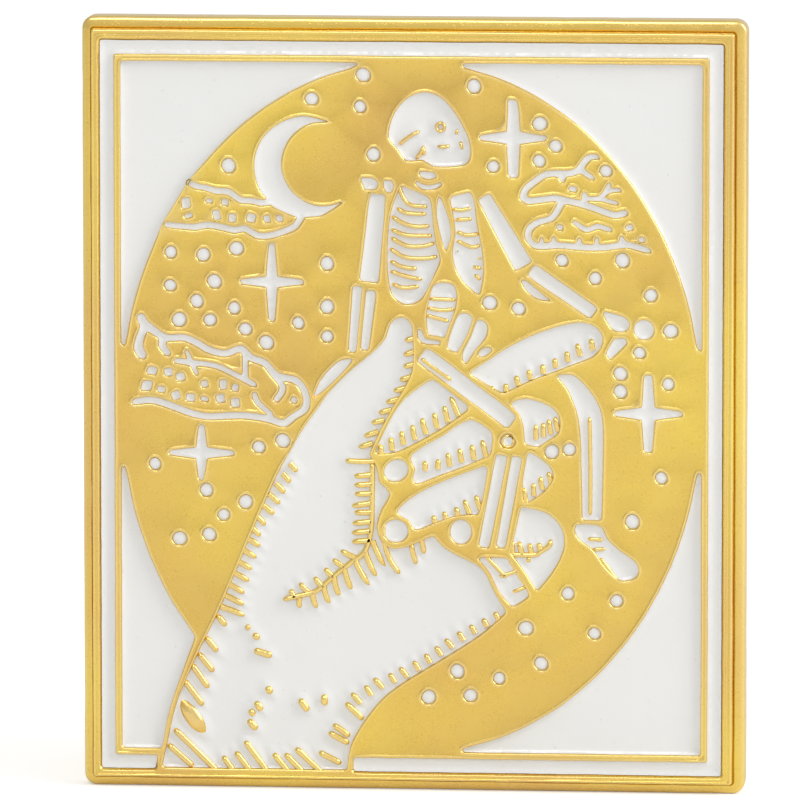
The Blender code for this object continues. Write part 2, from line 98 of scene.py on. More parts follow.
def frame_loop(inset):
    right = HALF_WIDTH - inset * WIDER_SIDES
    left = -HALF_WIDTH + inset * NARROWER_SIDES
    top = HALF_HEIGHT - inset * WIDER_SIDES
    bottom = -HALF_HEIGHT + inset * NARROWER_SIDES
    radius = max(CORNER_RADIUS - CORNER_TIGHTENING * inset, LEAST_RADIUS)
    corners = ((right, top), (left, top), (left, bottom), (right, bottom))
    loop = []
    for turn, (x, z) in enumerate(corners):
        cx = x - math.copysign(radius, x)
        cz = z - math.copysign(radius, z)
        for k in range(CORNER_POINTS + 1):
            angle = math.pi / 2 * (turn + k / CORNER_POINTS)
            loop.append((cx + radius * math.cos(angle), cz + radius * math.sin(angle)))
        ahead_x, ahead_z = corners[(turn + 1) % 4]
        start = loop[-1]
        along_x = turn in (0, 2)
        end = ((ahead_x - math.copysign(radius, ahead_x), z) if along_x
               else (x, ahead_z - math.copysign(radius, ahead_z)))
        points = POINTS_ACROSS if along_x else POINTS_UP
        for k in range(1, points):
            t = k / points
            loop.append((start[0] + (end[0] - start[0]) * t,
                         start[1] + (end[1] - start[1]) * t))
    return loop


def store_polish_and_painted_light(mesh, values):
    """Stores polish with painted light at each point for the plating to read: 1 smoother with a painted
    highlight, -1 rougher with painted shade.
    """
    painted_light_and_polish = mesh.attributes.new("polish_and_painted_light", "FLOAT", "POINT")
    painted_light_and_polish.data.foreach_set("value", np.array(values, np.float32))


class Builder:
    """Points in millimetres (across, up, out of the back) with faces and a value of polish with painted
    light.
    """

    def __init__(self):
        self.points, self.faces, self.polish_and_painted_light = [], [], []

    def row(self, loop, level, polish_and_painted_light=0.0):
        levels = level if hasattr(level, "__len__") else [level] * len(loop)
        painted_light_and_polish = polish_and_painted_light if hasattr(polish_and_painted_light, "__len__") else [polish_and_painted_light] * len(loop)
        start = len(self.points)
        self.points += [(float(x), float(z), float(out)) for (x, z), out in zip(loop, levels)]
        self.polish_and_painted_light += [float(p) for p in painted_light_and_polish]
        return list(range(start, len(self.points)))

    def bridge(self, row_a, row_b):
        for i in range(len(row_a)):
            j = (i + 1) % len(row_a)
            self.faces.append((row_a[i], row_a[j], row_b[j], row_b[i]))

    def fill(self, rows, loose=(), level=0.0, polish_and_painted_light=0.0, turned_over=False):
        """Triangles between the rows, by turns inside and outside, through the loose points."""
        ids = [i for row in rows for i in row]
        if len(loose):
            ids += self.row(loose, level, polish_and_painted_light)
        flat = [Vector(self.points[i][:2]) for i in ids]
        bounds, start = [], 0
        for row in rows:
            bounds.append(list(range(start, start + len(row))))
            start += len(row)
        made, _, faces, origin, _, inside = delaunay_2d_cdt(flat, [], bounds, 1, 1e-6, True)
        lookup = []
        for k, source in enumerate(origin):
            if source:
                lookup.append(ids[source[0]])
            else:
                near = self.points[ids[0]]
                self.points.append((made[k].x, made[k].y, near[2]))
                self.polish_and_painted_light.append(self.polish_and_painted_light[ids[0]])
                lookup.append(len(self.points) - 1)
        for face, owners in zip(faces, inside):
            if len(owners) % 2 == 0:
                continue
            a, b, c = (made[k] for k in face[:3])
            spin = (b - a).cross(c - a)
            corner = [lookup[k] for k in face]
            if (spin < 0) != turned_over:
                corner.reverse()
            self.faces.append(tuple(corner))

    def finish(self, name, material, stands_for=(), body="root", sharp=50, gap=4e-4):
        """Turns the drawing upright, front towards -Y, and hands the piece over."""
        mesh = bpy.data.meshes.new(name)
        mesh.from_pydata([(x * MM, -out * MM, z * MM) for x, z, out in self.points], [],
                         self.faces)
        store_polish_and_painted_light(mesh, self.polish_and_painted_light)
        work = bmesh.new()
        work.from_mesh(mesh)
        bmesh.ops.remove_doubles(work, verts=work.verts, dist=gap * MM)
        bmesh.ops.dissolve_degenerate(work, edges=work.edges, dist=gap * MM * 0.5)
        work.to_mesh(mesh)
        work.free()
        return hand_over(name, mesh, material, stands_for, body, sharp)


def hand_over(name, mesh, material, stands_for=(), body="root", sharp=50):
    mesh.materials.clear()
    mesh.materials.append(material)
    mesh.shade_smooth()
    mesh.set_sharp_from_angle(angle=math.radians(sharp))
    piece = bpy.data.objects.new(name, mesh)
    bpy.context.scene.collection.objects.link(piece)
    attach(piece, body)
    if stands_for:
        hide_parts(*stands_for)
    return piece


def new_tree(name, kind, inputs, outputs):
    tree = bpy.data.node_groups.new(name, kind)
    for label, socket, value in inputs:
        made = tree.interface.new_socket(label, in_out="INPUT", socket_type=socket)
        if value is not None:
            made.default_value = value
    for label, socket in outputs:
        tree.interface.new_socket(label, in_out="OUTPUT", socket_type=socket)
    return tree, tree.nodes.new("NodeGroupInput").outputs, tree.nodes.new("NodeGroupOutput").inputs


def plug(tree, value, socket):
    """Links a value that comes from another node, or sets a plain one."""
    if isinstance(value, bpy.types.NodeSocket):
        tree.links.new(value, socket)
    else:
        socket.default_value = value


def wired(tree, kind, settings=None, **links):
    """A node with its inputs set or linked; the keys are socket names or numbers."""
    node = tree.nodes.new(kind)
    for key, value in (settings or {}).items():
        setattr(node, key, value)
    for key, value in links.items():
        key = key.replace("_", " ").strip()
        plug(tree, value, node.inputs[int(key) if key.isdigit() else key])
    return node


def sums(tree, operation, a, b=0.0, c=0.0, clamp=False):
    node = tree.nodes.new("ShaderNodeMath")
    node.operation = operation
    node.use_clamp = clamp
    for value, socket in zip((a, b, c), node.inputs):
        plug(tree, value, socket)
    return node.outputs[0]


def blended(tree, share, a, b):
    node = tree.nodes.new("ShaderNodeMix")
    node.data_type = "RGBA"
    for value, number in ((share, 0), (a, 6), (b, 7)):
        plug(tree, value, node.inputs[number])
    return node.outputs[2]


def scattered(tree, place, scale, detail=3.0, roughness=0.55):
    node = wired(tree, "ShaderNodeTexNoise", Vector=place, Scale=scale, Detail=detail,
                 Roughness=roughness)
    return node.outputs["Fac"]


def between(tree, value, low, high, to_low=0.0, to_high=1.0):
    node = wired(tree, "ShaderNodeMapRange", Value=value)
    for socket, number in zip(list(node.inputs)[1:5], (low, high, to_low, to_high)):
        socket.default_value = number
    return node.outputs[0]


# Plating shared by every metal piece: slow tint changes, a painted highlight on the crests,
# painted shade in the grooves and hollows, fine polishing lines and pits.
plating, given, result = new_tree(
    "plating with painted light", "ShaderNodeTree",
    (("Light", "NodeSocketColor", (0.8, 0.5, 0.1, 1)), ("Deep", "NodeSocketColor", (0.7, 0.4, 0.1, 1)),
     ("Patch size", "NodeSocketFloat", 160.0), ("Roughness", "NodeSocketFloat", 0.2),
     ("Polish", "NodeSocketFloat", 0.0), ("Pits", "NodeSocketFloat", 1.0)),
    (("Colour", "NodeSocketColor"), ("Roughness", "NodeSocketFloat"),
     ("Height", "NodeSocketFloat")))
place = plating.nodes.new("ShaderNodeTexCoord").outputs["Object"]
patches = scattered(plating, place, given["Patch size"], 2.0, 0.5)
cloudy = scattered(plating, place, 900.0, 4.0, 0.6)
fine = scattered(plating, place, 9000.0, 3.0, 0.6)
brushed = wired(plating, "ShaderNodeMapping", Vector=place, Scale=(1.0, 1.0, 0.06))
lines = scattered(plating, brushed.outputs[0], 9000.0, 2.0, 0.5)
tone = between(plating, patches, 0.32, 0.68)
colour = blended(plating, tone, given["Deep"], given["Light"])
colour = blended(plating, between(plating, cloudy, 0.35, 0.75, 0.0, 0.16), colour,
                 (0.93, 0.72, 0.26, 1))
# Painted highlight: points with a value above 0.2 are lightened towards pale gold
painted_highlight = between(plating, given["Polish"], 0.2, 1.0, 0.0, 0.45)
colour = blended(plating, painted_highlight, colour, (1.0, 0.82, 0.40, 1))
# Painted shade: points with a negative value are darkened towards dark brown
painted_shade = between(plating, given["Polish"], -0.15, -1.0, 0.0, 0.5)
colour = blended(plating, painted_shade, colour, (0.30, 0.17, 0.035, 1))
pits = between(plating, fine, 0.60, 0.74)
colour = blended(plating, sums(plating, "MULTIPLY", pits, 0.22), colour, (0.40, 0.24, 0.06, 1))
plating.links.new(colour, result["Colour"])
rough = sums(plating, "MULTIPLY_ADD", cloudy, 0.16, given["Roughness"])
rough = sums(plating, "MULTIPLY_ADD", given["Polish"], -0.05, rough)
rough = sums(plating, "MULTIPLY_ADD", pits, 0.12, rough)
plating.links.new(sums(plating, "MAXIMUM", rough, 0.05), result["Roughness"])
height = sums(plating, "MULTIPLY", pits, sums(plating, "MULTIPLY", given["Pits"], -0.55))
height = sums(plating, "MULTIPLY_ADD", lines, 0.16, height)
height = sums(plating, "MULTIPLY_ADD", cloudy, 0.8, height)
plating.links.new(height, result["Height"])


def new_material(name):
    material = bpy.data.materials.new(name)
    material.use_nodes = True
    return material, material.node_tree, material.node_tree.nodes["Principled BSDF"]


def plated(name, light, deep, roughness, patch_size, pits=1.0, relief=0.000012):
    material, tree, shader = new_material(name)
    shader.inputs["Metallic"].default_value = 1.0
    group = wired(tree, "ShaderNodeGroup", {"node_tree": plating}, Light=light, Deep=deep,
                  Patch_size=patch_size, Roughness=roughness, Pits=pits)
    polish_and_painted_light = wired(tree, "ShaderNodeAttribute", {"attribute_name": "polish_and_painted_light"})
    tree.links.new(polish_and_painted_light.outputs["Fac"], group.inputs["Polish"])
    bump = wired(tree, "ShaderNodeBump", Height=group.outputs["Height"], Strength=0.5,
                 Distance=relief)
    tree.links.new(group.outputs["Colour"], shader.inputs["Base Color"])
    tree.links.new(group.outputs["Roughness"], shader.inputs["Roughness"])
    tree.links.new(bump.outputs[0], shader.inputs["Normal"])
    return material


GOLD = plated("gold plating", (0.90, 0.66, 0.13, 1), (0.80, 0.52, 0.14, 1), 0.2, 110.0)

plate = Builder()
frame_rows = []
for k, (inset, out, polish_and_painted_light) in enumerate(FRAME_PROFILE):
    loop = [(x + wavy(x, z, 1.3, UNEVEN, k * 0.13), z + wavy(z, x, 1.1, UNEVEN, k * 0.13 + 5))
            for x, z in frame_loop(inset)]
    levels = [out + (wavy(x, z, 0.9, UNEVEN, 9 + k * 0.2) if k in UNEVEN_ROWS else 0.0)
              for x, z in loop]
    frame_rows.append(plate.row(loop, levels, polish_and_painted_light))
land_edge = plate.row(frame_loop(FRAME_END), LAND_LEVEL, 0.1)
frame_rows.append(land_edge)
for row_a, row_b in zip(frame_rows, frame_rows[1:]):
    plate.bridge(row_a, row_b)

# Painted shade: the sunk back recess is darkened (-0.6), its margin a little lightened (0.3)
margin = plate.row(frame_loop(BACK_MARGIN), 0.0, 0.3)
recess = plate.row(frame_loop(BACK_MARGIN + BACK_SLOPE), BACK_RECESS, -0.6)
plate.bridge(recess, margin)
plate.bridge(margin, frame_rows[0])
grain_x = np.arange(-HALF_WIDTH + GRAIN_START, HALF_WIDTH - GRAIN_STOP, BACK_PITCH)
grain_z = np.arange(-HALF_HEIGHT + GRAIN_START, HALF_HEIGHT - GRAIN_STOP, BACK_PITCH)
sand = [(x + wavy(x, z, 0.3, 0.12, 3.1), z + wavy(z, x, 0.3, 0.12, 7.7))
        for x in grain_x for z in grain_z]
sand_level = [BACK_RECESS + wavy(x, z, 0.37, BACK_GRAIN * 1.6, 2.2) for x, z in sand]
# Painted shade deepens with the depth of each grain
plate.fill([recess], sand, sand_level, [-6 * (level - BACK_RECESS) for level in sand_level],
           turned_over=True)


# --------------------------------------------------------------- raised picture
# The picture is part of the same casting: flat polished lands left standing between
# recesses, each recess edged by a thin rounded ridge where the mould was cut deeper.
# The larger recesses follow the enamel solids of the CAD; cloud channels are listed here.

# Share of the ridge's width, height against the frame, and polish with painted light (a painted highlight on
# the crest, painted shade at the foot of the wall), from the foot inwards
RIDGE = ((1.0, -0.03, 0.1), (0.8, -0.024, 0.3), (0.56, 0.0, 1.0), (0.36, 0.004, 1.0),
         (0.16, -0.02, 0.5), (0.0, -0.085, -0.6))
RIDGE_WIDEST = 0.19
RIDGE_NARROWEST = 0.075
WALL_LEAN = 0.006
LEAST_LINE = 0.2
WIDENED = {"star": 0.045, "skull": 0.02, "index": 0.09, "middle": 0.11, "ring": 0.11,
           "little": 0.11, "palm": 0.09, "cloud": 0.0, "corner": 0.05, "pelvis": 0.08, "femur": 0.09,
           "foot": 0.08, "nail": 0.06, "rest": 0.05}
# The border's side against the frame: distance in, height against the frame, and polish with painted light,
# with painted shade at the foot of the wall
FRAME_SLOPE = ((0.175, -0.03, 0.1), (0.15, -0.014, 0.6), (0.12, -0.02, 0.8),
               (0.085, -0.06, 0.3), (0.04, -0.115, 0.2), (0.0, -0.165, -0.2))
CELL_FLOOR = 1.35
ENAMEL_GAP = 0.03
SHARP_TURN = math.radians(50)
FRAME_SHIFT = (-0.10, -0.10)
PICTURE_SHIFT = (0.12, 0.19)
DOT_RADIUS = 0.30
# Channels and windows against the sizes listed for them
CHANNEL_SHARE = 0.88
WINDOW_SHARE = 1.45
# Past these distances from the middle, across and up, a recess borders on the frame
FRAME_INSIDE = (13.9, 16.4)


def turning(loop):
    behind = loop - np.roll(loop, 1, 0)
    ahead = np.roll(loop, -1, 0) - loop
    cross = behind[:, 0] * ahead[:, 1] - behind[:, 1] * ahead[:, 0]
    return np.arctan2(cross, (behind * ahead).sum(1))


def outward(loop):
    ahead = np.roll(loop, -1, 0) - loop
    ahead /= np.linalg.norm(ahead, axis=1)[:, None] + 1e-12
    edge = np.stack([ahead[:, 1], -ahead[:, 0]], 1)
    both = edge + np.roll(edge, 1, 0)
    both /= np.linalg.norm(both, axis=1)[:, None] + 1e-12
    reach = np.maximum((both * edge).sum(1), 0.5)
    return both / reach[:, None]


def anticlockwise(loop):
    return loop if signed_area(loop) > 0 else loop[::-1].copy()


def signed_area(loop):
    after = np.roll(loop, -1, 0)
    return (loop[:, 0] * after[:, 1] - after[:, 0] * loop[:, 1]).sum() / 2


def edges_of(loops):
    """Start points and end points of every edge of the loops."""
    loops = list(loops)
    return np.concatenate(loops), np.concatenate([np.roll(loop, -1, 0) for loop in loops])


def evened(widths, slack):
    """Takes sudden steps out of the widths by narrowing them."""
    for _ in range(3):
        widths = np.minimum(widths, 0.5 * (np.roll(widths, 1) + np.roll(widths, -1)) + slack)
    return widths


def distance_to(points, ends_a, ends_b):
    """Least distance from each point to any of the segments."""
    best = np.full(len(points), 1e9)
    for start in range(0, len(points), 2000):
        some = points[start:start + 2000, None, :]
        run = (ends_b - ends_a)[None]
        t = ((some - ends_a[None]) * run).sum(2) / np.maximum((run ** 2).sum(2), 1e-12)
        gap = some - ends_a[None] - np.clip(t, 0, 1)[..., None] * run
        best[start:start + 2000] = np.sqrt((gap ** 2).sum(2)).min(1)
    return best


def moved_out(loop, distance):
    """The loop moved outwards; points that would fold over are drawn together."""
    moved = loop + outward(loop) * np.asarray(distance).reshape(-1, 1)
    wanted = np.abs(np.broadcast_to(distance, len(loop)))
    kept = distance_to(moved, loop, np.roll(loop, -1, 0)) > wanted * 0.93 - 1e-6
    if kept.any() and not kept.all():
        good = np.flatnonzero(kept)
        for i in np.flatnonzero(~kept):
            apart = np.abs(good - i)
            moved[i] = moved[good[np.minimum(apart, len(loop) - apart).argmin()]]
    return moved


def front_outline(node):
    """Outline of a CAD enamel solid on its front, anticlockwise, in millimetres."""
    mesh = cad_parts[node].data
    front = min(v.co.y for v in mesh.vertices)
    spots, edges = {}, {}
    for face in mesh.polygons:
        ring = [mesh.vertices[i].co for i in face.vertices]
        if max(p.y for p in ring) > front + 1e-6:
            continue
        keys = [(round(p.x * 1e7), round(p.z * 1e7)) for p in ring]
        for key, p in zip(keys, ring):
            spots[key] = (p.x / MM, p.z / MM)
        for a, b in zip(keys, keys[1:] + keys[:1]):
            edges[(a, b)] = True
    follow = {a: b for a, b in edges if (b, a) not in edges}
    start = key = next(iter(follow))
    loop = []
    while True:
        loop.append(spots[key])
        key = follow[key]
        if key == start:
            break
    return anticlockwise(np.array(loop))


def registered(loop):
    """Moves the picture as a whole; its edge moves with the frame instead."""
    near_edge = np.hypot(loop[:, 0] / 13.2, loop[:, 1] / 15.75)
    share = np.clip((near_edge - 0.9) / 0.1, 0, 1)
    share = (share * share * (3 - 2 * share))[:, None]
    return loop + np.array(PICTURE_SHIFT) * (1 - share) + np.array(FRAME_SHIFT) * share


def drawn(coarse, softness=2, wobble=0.014, seed=0.0):
    """A smooth line through the outline that keeps its sharp corners, slightly rounded."""
    corner = np.abs(turning(coarse)) > SHARP_TURN
    count = len(coarse)
    fine_points = []
    for i in range(count):
        p1, p2 = coarse[i], coarse[(i + 1) % count]
        p0 = 2 * p1 - p2 if corner[i] else coarse[i - 1]
        p3 = 2 * p2 - p1 if corner[(i + 1) % count] else coarse[(i + 2) % count]
        steps = max(1, int(np.linalg.norm(p2 - p1) / 0.07))
        for k in range(steps):
            t = k / steps
            fine_points.append(0.5 * (2 * p1 + (p2 - p0) * t
                                      + (2 * p0 - 5 * p1 + 4 * p2 - p3) * t * t
                                      + (3 * p1 - p0 - 3 * p2 + p3) * t ** 3))
    loop = registered(np.array(fine_points))
    for _ in range(softness):
        loop = 0.25 * np.roll(loop, 1, 0) + 0.5 * loop + 0.25 * np.roll(loop, -1, 0)
    shake = np.array([[wavy(x, z, 0.7, wobble, seed), wavy(z, x, 0.7, wobble, seed + 4)]
                      for x, z in loop])
    loop = loop + shake
    kept, turned_by, run = [0], 0.0, 0.0
    bends = turning(loop)
    for i in range(1, len(loop)):
        turned_by += bends[i]
        run += np.linalg.norm(loop[i] - loop[i - 1])
        if abs(turned_by) > math.radians(8) or run > 0.4 or abs(bends[i]) > math.radians(6):
            kept.append(i)
            turned_by, run = 0.0, 0.0
    return loop[kept]


def capsule(a, b, width):
    """Round-ended bar between two points, anticlockwise."""
    a, b = np.array(a, float), np.array(b, float)
    heading = math.atan2(b[1] - a[1], b[0] - a[0])
    outline = []
    for centre, side in ((b, -1), (a, 1)):
        for k in range(6):
            angle = heading + side * math.pi / 2 + math.pi * k / 5
            outline.append((centre[0] + width / 2 * math.cos(angle),
                            centre[1] + width / 2 * math.sin(angle)))
    return outline


def flowing(path, step=0.12):
    """Open smooth curve through the points."""
    path = np.array(path, float)
    ends = np.concatenate([[2 * path[0] - path[1]], path, [2 * path[-1] - path[-2]]])
    curve = []
    for p0, p1, p2, p3 in zip(ends, ends[1:], ends[2:], ends[3:]):
        steps = max(1, int(np.linalg.norm(p2 - p1) / step))
        for k in range(steps):
            t = k / steps
            curve.append(0.5 * (2 * p1 + (p2 - p0) * t + (2 * p0 - 5 * p1 + 4 * p2 - p3) * t * t
                                + (3 * p1 - p0 - 3 * p2 + p3) * t ** 3))
    curve.append(path[-1])
    return np.array(curve)


def merged(shapes):
    """Outlines of the area that the shapes cover together; outlines of gaps run clockwise."""
    flat, bounds = [], []
    for shape in shapes:
        bounds.append(list(range(len(flat), len(flat) + len(shape))))
        flat += [Vector(p) for p in shape]
    spots, _, faces, _, _, inside = delaunay_2d_cdt(flat, [], bounds, 1, 1e-5, True)
    edges = set()
    for face, owners in zip(faces, inside):
        if owners:
            a, b, c = face[:3]
            if (spots[b] - spots[a]).cross(spots[c] - spots[a]) < 0:
                b, c = c, b
            edges |= {(a, b), (b, c), (c, a)}
    follow = {a: b for a, b in edges if (b, a) not in edges}
    loops = []
    while follow:
        start, key = follow.popitem()
        loop = [start]
        while key != start:
            loop.append(key)
            key = follow.pop(key)
        loop = np.array([spots[k][:2] for k in loop])
        apart = np.linalg.norm(loop - np.roll(loop, 1, 0), axis=1)
        loop = loop[apart > 0.03]
        if len(loop) > 8:
            loops.append(loop)
    return loops


def channels(paths, *shapes):
    """Recess cut along the paths, each with its width, joined to any other shapes."""
    parts = [list(shape) for shape in shapes]
    for width, path in paths:
        line = flowing(path, 0.16)
        parts += [capsule(a, b, CHANNEL_SHARE * width) for a, b in zip(line, line[1:])]
    return [drawn(loop, 3) for loop in merged(parts)]


def block(x, z, wide, tall, turn=0.0):
    return [(x + u * math.cos(turn) - v * math.sin(turn),
             z + u * math.sin(turn) + v * math.cos(turn))
            for u, v in ((wide, -tall), (wide, tall), (-wide, tall), (-wide, -tall))]


# The cloud banks are narrow channels that branch
MOON_CLOUD = (
    (0.30, ((-9.98, 10.13), (-9.65, 9.86), (-9.37, 9.75), (-9.05, 9.5), (-8.5, 9.48),
            (-8.17, 9.26), (-7.84, 9.06), (-7.4, 9.06), (-6.9, 8.95), (-6.4, 9.1))),
    (0.31, ((-11.05, 8.22), (-10.47, 8.0), (-9.98, 7.83), (-9.54, 7.94), (-8.94, 7.89),
            (-8.17, 7.72), (-7.73, 7.81), (-7.18, 7.5), (-6.64, 7.48), (-5.98, 7.67),
            (-5.43, 7.94), (-5.16, 8.4))))
MIDDLE_CLOUD = (
    (0.33, ((-12.3, 4.0), (-12.13, 3.51), (-11.4, 2.84), (-10.49, 2.84), (-9.89, 2.6),
            (-9.4, 2.3), (-8.62, 2.12), (-7.89, 2.36), (-7.47, 1.94), (-6.86, 1.75),
            (-6.26, 1.15), (-5.35, 0.91), (-4.95, 0.24), (-5.0, -0.36), (-5.5, -0.67),
            (-5.95, -1.03), (-6.56, -0.85), (-7.77, -0.67), (-9.59, -0.73), (-10.8, -0.36),
            (-11.7, -0.06), (-12.6, 0.06))),
    (0.34, ((-12.13, 3.51), (-12.37, 2.96), (-12.43, 2.48), (-12.28, 2.06))),
    (0.34, ((-11.4, 2.84), (-11.49, 2.48), (-11.22, 2.12))),
    (0.26, ((-10.86, 1.78), (-10.07, 1.69), (-9.04, 1.57), (-8.38, 1.27), (-7.29, 0.73))),
    (0.2, ((-10.37, 2.2), (-10.19, 1.81), (-9.92, 1.2))),
    (0.26, ((-7.71, 2.2), (-7.71, 1.03))),
    (0.28, ((-6.56, 1.33), (-6.0, 0.6), (-6.32, 0.05))),
    (0.26, ((-7.29, 0.3), (-7.17, -0.06), (-6.56, -0.62))))
RIGHT_CLOUD = (
    (0.31, ((8.3, 11.35), (7.96, 11.27), (7.59, 10.96), (7.39, 10.6), (6.97, 10.42),
            (5.93, 10.39), (5.42, 10.08), (4.98, 9.72), (4.82, 9.3), (5.1, 9.15),
            (5.83, 9.25), (6.35, 9.3), (6.7, 9.2), (7.28, 9.09), (8.0, 8.89),
            (8.94, 8.55), (9.45, 8.68))),
    (0.3, ((6.62, 9.2), (6.35, 8.68), (6.1, 8.37), (5.52, 8.21), (5.12, 7.9), (5.07, 7.49),
           (5.36, 7.17), (5.78, 7.12), (6.45, 7.17), (8.0, 7.07), (9.05, 7.17),
           (9.56, 7.23), (10.5, 6.99))),
    (0.24, ((7.4, 10.6), (7.96, 10.23))), (0.24, ((6.56, 10.4), (6.62, 10.1))),
    (0.26, ((7.6, 9.0), (7.6, 9.5))), (0.22, ((7.75, 9.3), (8.27, 9.3), (8.58, 9.61), (8.73, 9.97))),
    (0.2, ((8.58, 9.61), (9.25, 9.77))), (0.2, ((8.27, 9.3), (9.05, 9.1))),
    (0.18, ((5.7, 7.12), (5.68, 7.45))), (0.18, ((6.25, 7.15), (6.22, 7.5))),
    (0.2, ((7.4, 7.1), (7.38, 7.45))), (0.18, ((8.16, 7.1), (8.16, 7.5))),
    (0.2, ((9.35, 7.2), (9.28, 7.55))))
RIGHT_WISP = ((0.24, ((7.15, 8.21), (7.75, 7.86), (8.16, 8.06), (8.75, 7.9))),)

cells, small = {}, {}
for node in sorted(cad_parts):
    if node.startswith("enamel_") and "_cloud_" not in node and node != "enamel_moon":
        outline = front_outline(node)
        outline = outline + outward(outline) * ENAMEL_GAP
        cells[node[7:]] = [drawn(outline, seed=len(cells) * 1.7)]
moon = front_outline("enamel_moon")
cells["moon_and_cloud"] = channels(MOON_CLOUD, moon + outward(moon) * ENAMEL_GAP)
cells["cloud_middle"] = channels(MIDDLE_CLOUD)
cells["cloud_right"] = channels(RIGHT_CLOUD)

# Recesses too small for solids of their own: windows in the clouds, neck, shoulder, fingers
SMALL_BLOCKS = (
    (-10.22, 9.14, 0.11, 0.19), (-10.19, 8.46, 0.1, 0.08), (-9.32, 9.06, 0.1, 0.07),
    (-8.61, 8.98, 0.1, 0.1), (-8.99, 8.4, 0.11, 0.15), (-8.28, 8.27, 0.11, 0.13),
    (-7.43, 8.28, 0.13, 0.13), (-6.72, 8.24, 0.1, 0.11), (-6.14, 8.27, 0.1, 0.1),
    (-11.92, 1.33, 0.14, 0.12), (-11.19, 1.26, 0.13, 0.12), (-10.65, 1.05, 0.13, 0.12),
    (-12.15, 0.67, 0.14, 0.15), (-11.52, 0.47, 0.12, 0.09), (-10.86, 0.2, 0.13, 0.13),
    (-10.19, 0.11, 0.13, 0.12), (-9.56, 0.06, 0.12, 0.07), (-8.83, 0.09, 0.13, 0.13),
    (-8.71, 0.72, 0.11, 0.15), (-8.17, 0.58, 0.1, 0.11), (-8.17, -0.1, 0.13, 0.14),
    (-9.56, 0.74, 0.1, 0.1), (-5.5, 0.05, 0.09, 0.09), (6.5, 7.98, 0.09, 0.09),
    (9.62, 8.0, 0.11, 0.09), (10.2, 7.47, 0.1, 0.08), (7.08, 9.72, 0.12, 0.08))
SMALL_SHAPES = {
    "neck": ((0.15, 10.46), (0.84, 10.42), (0.95, 10.2), (0.6, 10.1), (0.22, 10.2)),
    "collar": ((0.02, 10.05), (0.35, 9.86), (0.8, 9.84), (1.15, 10.0), (1.2, 9.88),
               (0.85, 9.66), (0.4, 9.64), (0.0, 9.85)),
    "shoulder": ((-2.5, 10.14), (-1.95, 10.12), (-1.66, 9.88), (-1.8, 9.62), (-2.3, 9.6)),
    "collar_bone": ((-1.45, 10.05), (-1.05, 10.0), (-0.98, 9.68), (-1.16, 9.44), (-1.4, 9.62)),
    "lower_forearm": ((4.74, 5.6), (5.08, 5.5), (5.6, 5.05), (6.1, 4.66), (5.5, 4.76),
                      (4.98, 5.15)),
    "finger_right": ((8.95, 2.98), (9.45, 3.02), (9.55, 2.8), (8.75, 2.0), (8.58, 2.3)),
    "knee_cap": ((4.0, -1.4), (4.32, -1.38), (4.55, -1.75), (4.3, -2.05), (3.9, -1.98),
                 (3.8, -1.65)),
    "hip_rim": ((0.08, 3.35), (0.26, 3.28), (0.42, 2.87), (1.12, 2.78), (1.12, 2.62),
                (0.4, 2.68), (0.14, 2.88)),
    "hip_socket": ((2.8, 2.14), (2.9, 2.36), (3.18, 2.56), (3.46, 2.46), (3.28, 2.22),
                   (2.9, 2.06))}
for i, (x, z, wide, tall) in enumerate(SMALL_BLOCKS):
    window = np.array(block(x, z, WINDOW_SHARE * wide, WINDOW_SHARE * tall,
                            0.3 * math.sin(i * 1.9)))
    small[f"window_{i}"] = [drawn(window, 1)]
for name, shape in SMALL_SHAPES.items():
    small[name] = [drawn(anticlockwise(np.array(shape, float)))]
small["cloud_wisp"] = channels(RIGHT_WISP)

DOTS = ((-4.6, 13.8), (-2.2, 15.0), (-2.5, 13.35), (2.7, 14.4), (-1.9, 11.2), (3.5, 10.7),
        (5.6, 12.65), (6.3, 11.65), (5.6, 10.9), (-8.4, 10.7), (-11.0, 6.8), (-9.6, 6.6),
        (-8.1, 6.9), (-11.1, 5.2), (-9.1, 5.4), (-9.9, 4.5), (-8.2, 4.2), (-10.7, 3.65),
        (-9.3, 3.65), (-7.7, 3.25), (-6.75, 2.65), (-5.3, 3.55), (-4.0, 6.25), (-4.0, 4.3),
        (-4.0, 2.95), (3.35, 4.55), (4.65, 4.3), (6.6, 6.5), (9.3, 6.6), (8.1, 5.7),
        (10.6, 4.95), (11.5, 3.35), (10.1, 2.35), (9.25, 1.4), (9.25, 0.6), (11.4, 0.95),
        (6.05, -2.05), (6.95, -2.05), (-7.1, -2.1), (-6.0, -1.8), (-11.8, -2.9),
        (-9.5, -4.0), (-7.7, -4.6), (-8.7, -5.2), (-10.7, -6.3), (-9.35, -6.1),
        (11.1, -3.3), (9.8, -5.3), (6.9, -8.6), (9.1, -8.9), (5.0, -10.2), (8.1, -10.4),
        (5.7, -11.8), (1.9, -12.2), (3.8, -12.5), (0.6, -13.4), (2.5, -13.3), (8.65, 10.65))
every_loop = [loop for group in (cells, small) for loops in group.values() for loop in loops]
all_edges_a, all_edges_b = edges_of(every_loop)
ROOM_ROUND_DOT = 2.4 * RIDGE_NARROWEST + DOT_RADIUS
dots = []
